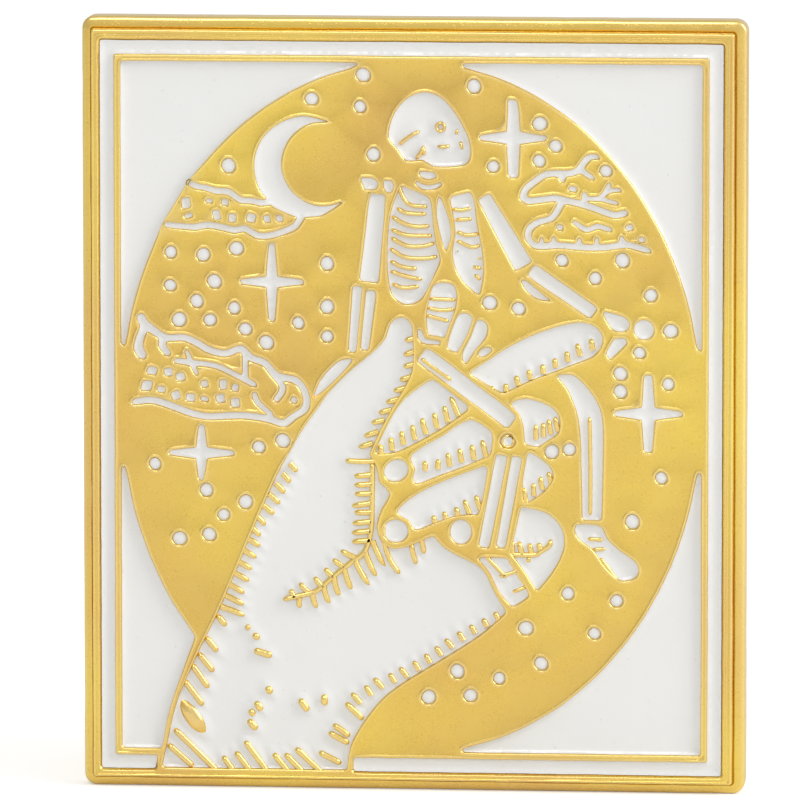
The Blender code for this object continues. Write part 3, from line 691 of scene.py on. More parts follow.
for i, dot in enumerate(DOTS):
    centre = registered(np.array([dot], float))[0]
    for _ in range(8):
        if distance_to(centre[None], all_edges_a, all_edges_b)[0] > ROOM_ROUND_DOT:
            break
        tries = [centre + 0.08 * np.array((math.cos(a), math.sin(a)))
                 for a in np.arange(0, 6.3, 0.5)]
        centre = tries[distance_to(np.array(tries), all_edges_a, all_edges_b).argmax()]
    else:
        continue
    size = DOT_RADIUS * (1 + 0.1 * math.sin(i * 2.3))
    angles = np.arange(14) * 2 * math.pi / 14
    ring = np.stack([np.cos(angles), np.sin(angles)], 1)
    dots.append((centre, size))
    small[f"dot_{i}"] = [centre + ring * (size * (1 + 0.05 * np.cos(2 * angles + i)))[:, None]]


def widened(name, loops, group):
    """Opens a recess up to its drawn line, keeping a metal line between it and the next."""
    others_a, others_b = edges_of(loop for other in group for loop in other)
    wider = []
    for loop in loops:
        room = 0.5 * (distance_to(loop, others_a, others_b) - LEAST_LINE)
        most = WIDENED.get(name.split("_")[0], WIDENED["rest"])
        wider.append(moved_out(loop, evened(np.clip(room, 0, most), 0.004)))
    return wider


def ridge_widths(group, loops):
    """Width of the ridge at each point, narrowed where another recess is close."""
    others_a, others_b = edges_of(loop for other in group for loop in other)
    widths = []
    for loop in loops:
        width = np.clip(0.5 * distance_to(loop, others_a, others_b) - 0.008,
                        RIDGE_NARROWEST, RIDGE_WIDEST)
        widths.append(evened(width, 0.01))
    return widths


def walls(loops, name, widths):
    """Ridge, wall and floor of one recess; returns the outer foot of the ridge."""
    feet, floor = [], []
    for loop, width in zip(loops, widths):
        far_out = (np.abs(loop - np.array(FRAME_SHIFT)) > np.array(FRAME_INSIDE)).any(1)
        framed = far_out & (name == "border")
        rows = []
        for ridge, slope in zip(RIDGE, FRAME_SLOPE):
            distance = np.where(framed, slope[0], ridge[0] * width)
            full = (width - RIDGE_NARROWEST) / (RIDGE_WIDEST - RIDGE_NARROWEST)
            share = full if ridge[0] > 0.7 else 1.0
            level = FACE_LEVEL + np.where(framed, slope[1], ridge[1] * share)
            # Painted highlight on the ridge crests, stronger on narrow ridges; painted shade at the foot of
            # the wall
            polish_and_painted_light = np.where(framed, slope[2], ridge[2] * share + 0.9 * (1 - share))
            rows.append(plate.row(moved_out(loop, distance), level, polish_and_painted_light))
        for row_a, row_b in zip(rows, rows[1:]):
            plate.bridge(row_a, row_b)
        feet.append(rows[0])
        # The recess floor gets -1, painted shade under the enamel
        floor.append(plate.row(moved_out(loop, -WALL_LEAN), CELL_FLOOR, -1))
        plate.bridge(rows[-1], floor[-1])
    plate.fill(floor)
    return feet


drawn_cells = dict(cells)
for name in drawn_cells:
    if name not in ("border", "moon_and_cloud"):
        others = [loops for key, loops in {**drawn_cells, **small}.items() if key != name]
        cells[name] = widened(name, drawn_cells[name], others)

recesses = {**cells, **small}
feet = []
for name, loops in recesses.items():
    others = [other for key, other in recesses.items() if key != name]
    feet += walls(loops, name, ridge_widths(others, loops))
plate.fill([land_edge] + feet)
plate.finish("cast_plate", GOLD, ["pin_body"])


# ------------------------------------------------------------------- raised lines
# The drawing inside the recesses stands in the same casting: rounded strokes a fifth of
# a millimetre wide, about level with the lands, with the enamel poured around them.

ENAMEL_LEVEL = 1.63
LINE_HALF_WIDTH = 0.13
LINE_HEIGHT = 0.232
LINE_STEP = 0.11
LINE_TAPER = 0.2
LINE_SIDES = 12
NUMBER, WHOLE, SHAPE = "NodeSocketFloat", "NodeSocketInt", "NodeSocketGeometry"
# From a flat drawing in millimetres to the upright plate in metres
UPRIGHT = Matrix.Rotation(math.pi / 2, 4, "X") @ Matrix.Scale(MM, 4)


def bead(tree, path, thickness, half_width, height):
    """Sweeps a rounded section along a path, flat side down."""
    circle = wired(tree, "GeometryNodeCurvePrimitiveCircle", Resolution=LINE_SIDES, Radius=1.0)
    size = wired(tree, "ShaderNodeCombineXYZ", X=half_width, Y=height, Z=1.0)
    spot = wired(tree, "ShaderNodeSeparateXYZ",
                 Vector=tree.nodes.new("GeometryNodeInputPosition").outputs[0])
    crest = wired(tree, "ShaderNodeClamp", Value=sums(tree, "MULTIPLY", spot.outputs[1], 1.3),
                  Min=-1.0, Max=1.0)
    flat = wired(tree, "ShaderNodeCombineXYZ", X=spot.outputs[0], Y=crest.outputs[0])
    crested = wired(tree, "GeometryNodeSetPosition", Geometry=circle.outputs[0],
                    Position=flat.outputs[0])
    section = wired(tree, "GeometryNodeTransform", Geometry=crested.outputs[0],
                    Scale=size.outputs[0])
    upright = wired(tree, "GeometryNodeSetCurveNormal", {"mode": "Z_UP"}, Curve=path)
    swept = wired(tree, "GeometryNodeCurveToMesh", Curve=upright.outputs[0],
                  Profile_Curve=section.outputs[0], Scale=thickness, Fill_Caps=True)
    return swept.outputs[0]


def ended(tree, shape, result):
    """Joins the parts, smooths them and gives them the plating."""
    real = wired(tree, "GeometryNodeRealizeInstances", Geometry=shape)
    whole = wired(tree, "GeometryNodeMergeByDistance", Geometry=real.outputs[0], Distance=0.001)
    smooth = wired(tree, "GeometryNodeSetShadeSmooth", Geometry=whole.outputs[0])
    metal = wired(tree, "GeometryNodeSetMaterial", Geometry=smooth.outputs[0], Material=GOLD)
    tree.links.new(metal.outputs[0], result[0])


def smooth_path(tree, guide):
    drawn_path = wired(tree, "GeometryNodeMeshToCurve", Mesh=guide)
    return wired(tree, "GeometryNodeCurveSplineType", {"spline_type": "CATMULL_ROM"},
                 Curve=drawn_path.outputs[0]).outputs[0]


def rounded_end(tree, from_end, taper):
    """Thickness that grows from nothing at an end, as the side of a circle does."""
    share = sums(tree, "DIVIDE", from_end, taper, clamp=True)
    return sums(tree, "MAXIMUM", sums(tree, "SQRT", share), 0.02)


raised_line, given, result = new_tree(
    "raised line", "GeometryNodeTree",
    (("Paths", SHAPE, None), ("Half width", NUMBER, LINE_HALF_WIDTH),
     ("Height", NUMBER, LINE_HEIGHT), ("Taper", NUMBER, LINE_TAPER), ("Step", NUMBER, LINE_STEP)),
    (("Lines", SHAPE),))
even = wired(raised_line, "GeometryNodeResampleCurve", {"mode": "LENGTH"},
             Curve=smooth_path(raised_line, given["Paths"]), Length=given["Step"])
along = raised_line.nodes.new("GeometryNodeSplineParameter").outputs["Length"]
total = raised_line.nodes.new("GeometryNodeSplineLength").outputs["Length"]
from_end = sums(raised_line, "MINIMUM", along, sums(raised_line, "SUBTRACT", total, along))
thin = rounded_end(raised_line, from_end, given["Taper"])
ended(raised_line, bead(raised_line, even.outputs[0], thin, given["Half width"],
                        given["Height"]), result)

hatching, given, result = new_tree(
    "hatching", "GeometryNodeTree",
    (("Guide", SHAPE, None), ("Strokes", WHOLE, 8), ("First angle", NUMBER, 0.0),
     ("Last angle", NUMBER, 0.0), ("First length", NUMBER, 0.8), ("Last length", NUMBER, 0.8),
     ("Spread", NUMBER, 0.12), ("Bend", NUMBER, 0.05), ("Half width", NUMBER, 0.14),
     ("Height", NUMBER, LINE_HEIGHT), ("Seed", WHOLE, 1)),
    (("Strokes", SHAPE),))
starts = wired(hatching, "GeometryNodeCurveToPoints", {"mode": "COUNT"},
               Curve=smooth_path(hatching, given["Guide"]), Count=given["Strokes"])
order = hatching.nodes.new("GeometryNodeInputIndex").outputs[0]
share = sums(hatching, "DIVIDE", order, sums(hatching, "SUBTRACT", given["Strokes"], 1.0))


def varied(low, high):
    """A value that runs from the first to the last stroke."""
    return sums(hatching, "MULTIPLY_ADD", share, sums(hatching, "SUBTRACT", high, low), low)


chance = wired(hatching, "FunctionNodeRandomValue", {"data_type": "FLOAT"}, _2=-1.0, _3=1.0,
               Seed=given["Seed"]).outputs[1]
unequal = sums(hatching, "MULTIPLY_ADD", chance, given["Spread"], 1.0)
reach = sums(hatching, "MULTIPLY", varied(given["First length"], given["Last length"]), unequal)
angle = sums(hatching, "MULTIPLY_ADD", chance, given["Spread"],
             varied(given["First angle"], given["Last angle"]))
turn = wired(hatching, "ShaderNodeCombineXYZ", Z=angle)
turned = wired(hatching, "FunctionNodeEulerToRotation", Euler=turn.outputs[0])
middle = wired(hatching, "ShaderNodeCombineXYZ", X=0.5, Y=given["Bend"])
stroke = wired(hatching, "GeometryNodeCurveQuadraticBezier", Resolution=6, Start=(0, 0, 0),
               Middle=middle.outputs[0], End=(1, 0, 0))
factor = hatching.nodes.new("GeometryNodeSplineParameter").outputs["Factor"]
thin = rounded_end(hatching, sums(hatching, "SUBTRACT", 1.0, factor), 0.3)
one_stroke = bead(hatching, stroke.outputs[0], thin, given["Half width"], given["Height"])
stretch = wired(hatching, "ShaderNodeCombineXYZ", X=reach, Y=1.0, Z=1.0)
strokes = wired(hatching, "GeometryNodeInstanceOnPoints", Points=starts.outputs[0],
                Instance=one_stroke, Rotation=turned.outputs[0], Scale=stretch.outputs[0])
ended(hatching, strokes.outputs[0], result)


def made_by(tree, source, **settings):
    """Runs a node tree over a mesh and returns the plain mesh that it makes."""
    holder = bpy.data.objects.new("guide", source)
    bpy.context.scene.collection.objects.link(holder)
    grow = holder.modifiers.new("grow", "NODES")
    grow.node_group = tree
    for item in tree.interface.items_tree:
        label = item.name.replace(" ", "_")
        if item.in_out == "INPUT" and label in settings:
            grow[item.identifier] = settings[label]
    ready = holder.evaluated_get(bpy.context.evaluated_depsgraph_get())
    mesh = bpy.data.meshes.new_from_object(ready)
    bpy.data.objects.remove(holder)
    return mesh


def grown(tree, paths, **settings):
    """Runs a node tree over flat paths in millimetres."""
    points, edges = [], []
    for path in paths:
        start = len(points)
        placed = registered(np.array(path, float))
        points += [(x, z, ENAMEL_LEVEL) for x, z in placed]
        edges += [(k, k + 1) for k in range(start, len(points) - 1)]
    guide = bpy.data.meshes.new("guide")
    guide.from_pydata(points, edges, [])
    return made_by(tree, guide, **settings)


SKULL_LINES = (
    ((-0.8, 11.6), (-0.3, 12.0), (0.22, 12.28)), ((1.88, 12.42), (1.84, 12.2), (1.75, 12.08)),
    ((0.91, 11.6), (1.25, 11.56), (1.6, 11.63)), ((1.0, 11.6), (1.0, 11.74)),
    ((1.22, 11.58), (1.22, 11.74)), ((1.44, 11.6), (1.44, 11.76)), ((1.99, 11.9), (2.12, 11.37)),
    ((-0.04, 10.94), (0.22, 11.28), (0.39, 11.66)), ((0.35, 11.6), (0.39, 11.11)),
    ((0.6, 11.78), (0.72, 11.72)))
RIB_LINES = (
    ((-0.8, 9.9), (-0.56, 9.25), (-0.2, 8.92), (0.6, 8.86)),
    ((-0.9, 8.82), (-0.39, 8.56), (0.56, 8.52)), ((-1.12, 8.43), (-0.56, 8.1), (0.04, 7.95), (0.7, 8.0)),
    ((-1.17, 7.85), (-0.39, 7.56), (0.82, 7.55)), ((-1.17, 7.47), (-0.39, 7.08), (0.39, 7.08), (0.91, 7.25)),
    ((-1.21, 6.99), (-0.48, 6.57), (0.48, 6.52), (1.04, 6.64)),
    ((-1.21, 6.43), (-0.6, 6.13), (0.13, 6.04)), ((-1.21, 5.95), (-0.39, 5.69), (0.35, 5.56)),
    ((-1.12, 5.39), (-0.56, 5.18), (0.22, 5.26)),
    ((1.55, 8.78), (2.1, 8.72), (2.6, 8.85)), ((1.69, 8.26), (2.64, 8.34)),
    ((1.77, 7.77), (2.33, 7.59), (2.94, 7.68)), ((1.77, 7.38), (2.55, 7.05), (2.98, 7.2)),
    ((1.77, 6.9), (2.03, 6.82)), ((3.05, 6.51), (2.72, 6.56)), ((3.05, 6.08), (2.5, 6.17)),
    ((3.0, 5.52), (2.59, 5.87)),
    ((0.55, 4.70), (1.9, 4.66)), ((0.45, 4.31), (1.17, 4.18), (1.85, 4.27)), ((0.4, 3.97), (1.6, 3.66)))
LEG_LINES = (
    ((7.85, -0.5), (7.9, -2.8), (7.9, -5.1)), ((0.17, 2.06), (0.88, 1.52), (1.69, 0.98)),
    ((7.1, 1.75), (7.45, 1.6)), ((7.95, 0.2), (8.05, 0.35)),
    ((3.05, -6.8), (3.6, -7.4), (4.2, -8.0)), ((4.2, -7.0), (4.75, -7.9), (5.3, -8.7)),
    ((3.7, -7.9), (4.2, -7.75), (4.8, -7.55)), ((4.3, -8.6), (5.1, -8.3)),
    ((7.7, -6.1), (8.6, -6.15)), ((7.9, -6.6), (8.7, -6.55)), ((8.3, -6.9), (9.2, -8.1)))
FINGER_LINES = (
    ((-3.24, -2.69), (-2.4, -2.72), (-1.5, -2.67)), ((-0.3, -6.02), (0.46, -5.78), (1.27, -5.66)),
    ((-0.23, -6.3), (-0.1, -6.95), (0.06, -7.41)), ((0.17, -5.84), (0.3, -6.4), (0.4, -6.94)),
    ((2.89, -6.8), (5.2, -6.88), (5.66, -6.7), (6.06, -6.41), (6.12, -6.1)),
    ((5.08, -7.3), (5.14, -6.88)))
FERN_LINES = (
    ((-6.08, -9.06), (-5.33, -8.88), (-4.51, -8.63), (-3.7, -7.93), (-2.95, -7.33),
     (-2.31, -6.8), (-2.02, -5.81), (-1.97, -4.42), (-1.96, -2.7)),
    ((-1.45, -5.4), (-1.43, -6.3), (-1.15, -7.2), (-0.69, -7.85)))
PALM_MARKS = (
    ((-7.76, -10.25), (-7.48, -10.44)), ((-7.43, -10.62), (-7.05, -10.88)),
    ((-7.38, -11.35), (-6.47, -11.65)), ((-6.67, -12.8), (-6.35, -13.2)),
    ((-7.1, -13.4), (-6.72, -13.9)), ((-7.34, -13.75), (-7.1, -14.14)),
    ((-7.43, -14.24), (-6.96, -14.76)), ((-5.23, -13.44), (-4.7, -14.0)),
    ((-4.15, -13.3), (-4.08, -13.85)))
WRIST_STROKES = (
    ((-9.05, -9.7), (-8.55, -10.3)), ((-9.4, -10.5), (-8.77, -11.27)),
    ((-9.7, -11.2), (-8.92, -12.15)), ((-10.0, -11.7), (-9.16, -12.9)),
    ((-10.35, -12.45), (-9.4, -13.7)), ((-10.8, -14.7), (-8.7, -16.75)),
    ((-11.1, -15.4), (-9.84, -16.5)), ((-8.59, -15.9), (-7.97, -16.75)),
    ((-8.01, -15.7), (-7.2, -16.75)), ((-7.58, -15.2), (-6.43, -16.75)),
    ((-6.29, -15.75), (-5.47, -16.75)), ((-5.76, -15.75), (-4.8, -16.75)),
    ((-5.28, -15.5), (-3.94, -16.75)), ((-4.23, -15.68), (-3.1, -16.25)),
    ((-3.8, -14.8), (-2.74, -15.33)), ((-3.65, -14.5), (-2.74, -15.04)),
    ((-3.22, -13.7), (-2.27, -14.45)))
THICK_MARKS = (((-10.5, -13.35), (-9.95, -14.15), (-9.3, -15.0)),)
EYE = (1.12, 12.45)
KNEE = (4.18, -1.72)
RINGS = tuple(
    tuple((x + radius * math.cos(k * math.pi / 5), z + radius * math.sin(k * math.pi / 5))
          for k in range(14)) for (x, z), radius in ((EYE, 0.19), (KNEE, 0.26)))

# Guide, number of strokes, first and last angle in degrees, first and last length, bend
HATCHES = (
    (((-5.7, -2.85), (-6.9, -4.6), (-7.85, -6.2), (-8.5, -7.95), (-8.85, -9.4)),
     14, -55, -22, 0.5, 1.25, 0.03),
    (((-2.5, -13.75), (-1.6, -13.1), (-0.35, -12.5), (1.04, -11.6), (2.43, -10.65), (4.3, -9.55)),
     14, 130, 122, 0.65, 0.45, -0.04),
    (((-0.05, 2.9), (-0.1, 1.5), (-0.5, 0.6), (-1.04, -0.24), (-1.5, -0.94), (-1.95, -1.87)),
     10, 192, 196, 0.5, 0.7, 0.03),
    (((-2.0, -3.32), (-2.0, -4.7), (-2.05, -6.3)), 8, 182, 190, 0.85, 1.0, 0.02),
    (((-2.75, -7.1), (-3.5, -7.75), (-4.3, -8.4), (-5.5, -8.95)), 6, 150, 122, 0.75, 0.5, 0.03),
    (((-1.95, -6.3), (-2.3, -6.85), (-2.95, -7.4), (-3.7, -8.0), (-4.5, -8.65), (-5.25, -8.95)),
     8, -60, -82, 1.5, 0.55, -0.12),
    (((3.48, 0.42), (4.03, 0.52), (5.36, 1.17), (6.68, 1.82), (8.0, 2.45)), 9, 97, 102, 0.4, 0.6, 0.02),
    (((-1.55, -2.45), (-0.58, -1.95), (0.46, -1.45), (1.95, -0.6)), 8, 92, 108, 0.55, 0.95, 0.02),
    (((5.45, -1.62), (6.45, -1.25)), 4, 90, 97, 0.75, 0.7, 0.02),
    (((0.44, -3.1), (1.3, -2.95), (2.3, -2.65), (3.2, -2.45)), 6, 88, 106, 0.45, 0.9, 0.02),
    (((5.0, -4.5), (5.5, -4.05), (6.15, -3.65)), 4, 95, 98, 0.75, 0.6, 0.02),
    (((0.92, -5.6), (1.67, -5.4), (2.3, -5.1), (2.95, -4.85)), 5, 100, 106, 0.5, 0.75, 0.02),
    (((4.4, -6.85), (5.0, -6.85), (5.65, -6.65)), 4, 98, 108, 0.75, 0.4, 0.02))

line_meshes = [
    grown(raised_line, SKULL_LINES, Half_width=0.095),
    grown(raised_line, RIB_LINES + LEG_LINES, Half_width=0.105),
    grown(raised_line, FINGER_LINES + FERN_LINES),
    grown(raised_line, PALM_MARKS, Half_width=0.17, Taper=0.16),
    grown(raised_line, WRIST_STROKES, Half_width=0.15),
    grown(raised_line, THICK_MARKS, Half_width=0.38, Taper=0.75),
    grown(raised_line, RINGS, Half_width=0.08, Taper=0.01)]
for seed, (guide, count, first, last, start_length, end_length, bend) in enumerate(HATCHES):
    line_meshes.append(grown(
        hatching, [guide], Strokes=count, First_angle=math.radians(first),
        Last_angle=math.radians(last), First_length=start_length, Last_length=end_length,
        Bend=bend, Seed=seed + 3))

joined = bmesh.new()
for part in line_meshes:
    joined.from_mesh(part)
line_spots = np.array([vertex.co[:] for vertex in joined.verts])
line_mesh = bpy.data.meshes.new("raised_lines")
joined.to_mesh(line_mesh)
joined.free()
# Painted highlight along the crests of the lines and painted shade where they meet the enamel
crest = (line_spots[:, 2] - ENAMEL_LEVEL) / LINE_HEIGHT
store_polish_and_painted_light(line_mesh, np.clip(1.9 * crest - 0.8, -1, 1))
line_mesh.transform(UPRIGHT)
hand_over("raised_lines", line_mesh, GOLD, sharp=75)


# ------------------------------------------------------------------- enamel
# Soft enamel is a resin paint poured into each recess and baked.  It shrinks below the
# metal as it dries, and creeps up the walls and the raised lines, so every fill is dished.

CLIMB = 0.13
CLIMB_REACH = 0.15
FILL_RINGS = (0.05, 0.11, 0.19, 0.3, 0.46)
OPEN_PITCH = 0.5
HATCHED_PITCH = 0.15
# Narrow recesses, up to this mean breadth, hold the paint higher, by up to FULLER
NOT_NARROW = 1.4
FULLER = 0.075
HATCHED = ("palm", "skull", "rib", "finger", "lumbar", "heel", "moon", "foot", "leg", "tibia",
           "fibula")

line_marks = kdtree.KDTree(len(line_spots))
for k, spot in enumerate(line_spots):
    line_marks.insert((spot[0], spot[1], 0.0), k)
line_marks.balance()


def enamel_paint():
    material, tree, shader = new_material("white enamel")
    place = tree.nodes.new("ShaderNodeTexCoord").outputs["Object"]
    slow = scattered(tree, place, 140.0, 3.0, 0.5)
    peel = scattered(tree, place, 1500.0, 2.0, 0.5)
    dust = scattered(tree, place, 5200.0, 2.0, 0.6)
    colour = blended(tree, slow, (0.755, 0.76, 0.75, 1), (0.80, 0.805, 0.80, 1))
    specks = between(tree, dust, 0.70, 0.76, 0.0, 0.35)
    colour = blended(tree, specks, colour, (0.55, 0.52, 0.45, 1))
    tree.links.new(colour, shader.inputs["Base Color"])
    tree.links.new(between(tree, slow, 0.3, 0.7, 0.16, 0.26), shader.inputs["Roughness"])
    shader.inputs["Coat Weight"].default_value = 0.3
    shader.inputs["Coat Roughness"].default_value = 0.08
    bump = wired(tree, "ShaderNodeBump", Height=peel, Strength=0.25, Distance=0.00003)
    tree.links.new(bump.outputs[0], shader.inputs["Normal"])
    return material


ENAMEL = enamel_paint()


def within(points, loops):
    """Which points lie inside the loops, by counting crossings."""
    inside = np.zeros(len(points), bool)
    x, z = points[:, :1], points[:, 1:]
    for loop in loops:
        ax, az = loop[:, 0], loop[:, 1]
        bx, bz = np.roll(ax, -1), np.roll(az, -1)
        rise = np.where(np.abs(bz - az) < 1e-9, 1e-9, bz - az)
        crossed = ((az > z) != (bz > z)) & (x < ax + (z - az) * (bx - ax) / rise)
        inside ^= crossed.sum(1) % 2 == 1
    return inside


def surface_level(points, wall_gap):
    """Dished surface: high against the walls and lines, slightly uneven between them."""
    line_gap = np.array([line_marks.find((x, z, 0.0))[2] for x, z in points])
    gap = np.minimum(wall_gap, line_gap)
    uneven = np.array([wavy(x, z, 1.9, 0.02, 4.4) for x, z in points])
    return ENAMEL_LEVEL + CLIMB * np.exp(-gap / CLIMB_REACH) + uneven


def poured(name, loops, stands_for, pitch):
    fill = Builder()
    edges_a, edges_b = edges_of(loops)
    area = abs(sum(signed_area(loop) for loop in loops))
    breadth = 2 * area / np.linalg.norm(edges_b - edges_a, axis=1).sum()
    fuller = FULLER * min(max(NOT_NARROW - breadth, 0), 1)
    tops, feet, loose = [], [], []
    for loop in loops:
        feet.append(fill.row(loop, CELL_FLOOR + 0.01))
        tops.append(fill.row(loop, surface_level(loop, np.zeros(len(loop))) + fuller / 2))
        fill.bridge(feet[-1], tops[-1])
        loose += [moved_out(loop, -inset) for inset in FILL_RINGS]
    low, high = edges_a.min(0), edges_a.max(0)
    across, up = np.meshgrid(np.arange(low[0], high[0], pitch), np.arange(low[1], high[1], pitch))
    loose.append(np.stack([across.ravel(), up.ravel()], 1) + pitch * 0.37)
    loose = np.concatenate(loose)
    loose = loose[within(loose, loops)]
    wall_gap = distance_to(loose, edges_a, edges_b)
    loose, wall_gap = loose[wall_gap > 0.03], wall_gap[wall_gap > 0.03]
    if len(loose):
        fill.fill(tops, loose, surface_level(loose, wall_gap) + fuller)
    else:
        fill.fill(tops)
    fill.fill(feet, turned_over=True)
    return fill.finish(name, ENAMEL, stands_for, sharp=60)


STANDS_FOR = {
    "moon_and_cloud": ["enamel_moon", "enamel_cloud_left_top", "enamel_cloud_left_base"],
    "cloud_middle": ["enamel_cloud_middle_top", "enamel_cloud_middle_base"],
    "cloud_right": ["enamel_cloud_right_top", "enamel_cloud_right_base"]}
for name, loops in cells.items():
    pitch = HATCHED_PITCH if any(word in name for word in HATCHED) else OPEN_PITCH
    poured("fill_" + name, loops, STANDS_FOR.get(name, ["enamel_" + name]), pitch)
poured("fill_small_recesses", [loop for name, loops in small.items()
                               if not name.startswith("dot") for loop in loops], (), HATCHED_PITCH)

# Each round dot holds a single drop, placed with a needle, that stands up in the middle
DROP_LEVEL = ENAMEL_LEVEL + 0.12
DROP_RISE = 0.09
DROP_SHARE = 1.08
drops, given, result = new_tree(
    "enamel drops", "GeometryNodeTree",
    (("Places", SHAPE, None), ("Radius", NUMBER, DOT_RADIUS), ("Rise", NUMBER, DROP_RISE)),
    (("Drops", SHAPE),))
ball = wired(drops, "GeometryNodeMeshUVSphere", Segments=14, Rings=8, Radius=1.0)
size = wired(drops, "GeometryNodeInputNamedAttribute", {"data_type": "FLOAT"}, Name="size")
wide = sums(drops, "MULTIPLY", size.outputs[0], given["Radius"])
shape = wired(drops, "ShaderNodeCombineXYZ", X=wide, Y=wide, Z=given["Rise"])
every = wired(drops, "GeometryNodeMeshToPoints", Mesh=given["Places"])
placed = wired(drops, "GeometryNodeInstanceOnPoints", Points=every.outputs[0],
               Instance=ball.outputs[0], Scale=shape.outputs[0])
real = wired(drops, "GeometryNodeRealizeInstances", Geometry=placed.outputs[0])
painted = wired(drops, "GeometryNodeSetMaterial", Geometry=real.outputs[0], Material=ENAMEL)
drops.links.new(painted.outputs[0], result[0])
places = bpy.data.meshes.new("places")
places.from_pydata([(x, z, DROP_LEVEL) for (x, z), _ in dots], [], [])
sizes = places.attributes.new("size", "FLOAT", "POINT")
sizes.data.foreach_set("value", np.array([DROP_SHARE * size / DOT_RADIUS for _, size in dots],
                                         np.float32))
drop_mesh = made_by(drops, places)
drop_mesh.transform(UPRIGHT)
hand_over("fill_dots", drop_mesh, ENAMEL)


# ------------------------------------------------------------------- posts
# Two nail-headed posts of gilt brass wire, soldered to the back by their heads.  Each has
# a groove rolled round it for the clutch to grip and a filed point.

BRASS = plated("gilt brass", (0.80, 0.58, 0.20, 1), (0.66, 0.44, 0.15, 1), 0.24, 300.0, 0.7)
POST_PLACES = {"left": -7.5, "right": 7.5}
POST_HEIGHT = 4.0
POST_SIDES = 40
# Radius, and distance back from the plate
POST_PROFILE = (
    (0.0, -0.045), (1.88, -0.045), (1.92, 0.0), (1.84, 0.07), (1.71, 0.15), (1.62, 0.23),
    (1.585, 0.30), (1.5, 0.345), (0.95, 0.36), (0.74, 0.40), (0.63, 0.50), (0.585, 0.66),
    (0.575, 0.9), (0.575, 2.2), (0.575, 3.52), (0.55, 3.60), (0.455, 3.71), (0.42, 3.8),
    (0.42, 4.1), (0.455, 4.19), (0.55, 4.30), (0.575, 4.38), (0.575, 5.6), (0.575, 6.88),
    (0.54, 7.0), (0.44, 7.28), (0.33, 7.56), (0.22, 7.82), (0.15, 7.93), (0.08, 7.985), (0.0, 8.0))
SOLDER_EDGE = 1.6


def turned_piece(profile, across, seat, sides, closed, uneven=0.0):
    """Round shape about an axis that runs straight back, as a bmesh in metres."""
    shape = bmesh.new()
    rings = []
    for radius, back in profile:
        if radius < 1e-6:
            rings.append([shape.verts.new((across * MM, (seat + back) * MM, POST_HEIGHT * MM))])
            continue
        ring = []
        for k in range(sides):
            angle = 2 * math.pi * k / sides
            lumps = (uneven * noise.noise(Vector((2.2 * math.cos(angle) + across,
                                                  2.2 * math.sin(angle), back)))
                     if radius > SOLDER_EDGE else 0.0)
            ring.append(shape.verts.new((
                (across + (radius + lumps) * math.cos(angle)) * MM, (seat + back) * MM,
                (POST_HEIGHT + (radius + lumps) * math.sin(angle)) * MM)))
        rings.append(ring)
    pairs = list(zip(rings, rings[1:])) + ([(rings[-1], rings[0])] if closed else [])
    for near, far in pairs:
        for k in range(sides):
            j = (k + 1) % sides
            corners = [near[k % len(near)], near[j % len(near)], far[j % len(far)],
                       far[k % len(far)]]
            shape.faces.new(list(dict.fromkeys(corners)))
    bmesh.ops.recalc_face_normals(shape, faces=shape.faces)
    return shape


def metal_mesh(shape, name):
    """Mesh with a painted highlight and smoother plating on its outer edges, and painted shade with rougher
    plating in its hollows.
    """
    mesh = bpy.data.meshes.new(name)
    shape.normal_update()
    # Painted highlight on convex edges, painted shade in concave ones
    painted_light_and_polish = []
    for vertex in shape.verts:
        bends = [edge.calc_face_angle_signed(0.0) for edge in vertex.link_edges]
        painted_light_and_polish.append(max(-1.0, min(1.0, 1.6 * max(bends, key=abs, default=0.0))))
    shape.to_mesh(mesh)
    shape.free()
    store_polish_and_painted_light(mesh, painted_light_and_polish)
    return mesh


for side, across in POST_PLACES.items():
    shape = turned_piece(POST_PROFILE, across, 0.0, POST_SIDES, False, 0.09)
    hand_over(f"soldered_post_{side}", metal_mesh(shape, f"soldered_post_{side}"), BRASS,
              [f"post_{side}"], sharp=55)


# ------------------------------------------------------------------- butterfly clutches
# Each clutch is pressed from thin gilt brass: a dish with a rolled lip, a domed cover held
# under the lip, and two sprung wings that come out of windows in the cover.  Their inner
# ends are the jaws, and squeezing the outer ends together opens them.

CLUTCH_SEAT = 2.6
CLUTCH_SIDES = 72
DISH_PROFILE = ((0.8, 0.25), (1.6, 0.0), (5.3, 0.0), (5.7, 0.4), (5.7, 1.15), (5.5, 1.45),
                (5.15, 1.45), (5.15, 1.1), (5.35, 1.1), (5.35, 0.45), (5.25, 0.35), (1.6, 0.35),
                (0.8, 0.6))
COVER_PROFILE = ((5.2, 0.6), (5.2, 0.95), (4.65, 0.95), (4.35, 1.7), (4.0, 2.05), (1.3, 2.05),
                 (1.0, 1.95), (1.0, 1.7), (3.85, 1.7), (4.3, 0.95), (4.35, 0.6))
WINDOW_NEAR, WINDOW_FAR, WINDOW_HALF = 1.5, 2.95, 2.95
WINDOW_DEPTHS = (1.2, 3.0)
WINDOW_CORNER = 0.3
# Distance out from the post, distance back from the seat, and half width
WING_PATH = ((0.78, 1.2, 1.2), (1.45, 1.42, 2.3), (2.05, 1.85, 2.7), (2.55, 2.45, 2.7),
             (3.1, 3.3, 3.0), (3.7, 4.15, 3.4), (4.35, 4.9, 3.3), (4.9, 5.4, 2.6))
WING_THICKNESS = 0.28
SPINE_WIDTH = 0.7
SPINE_RISE = 0.09


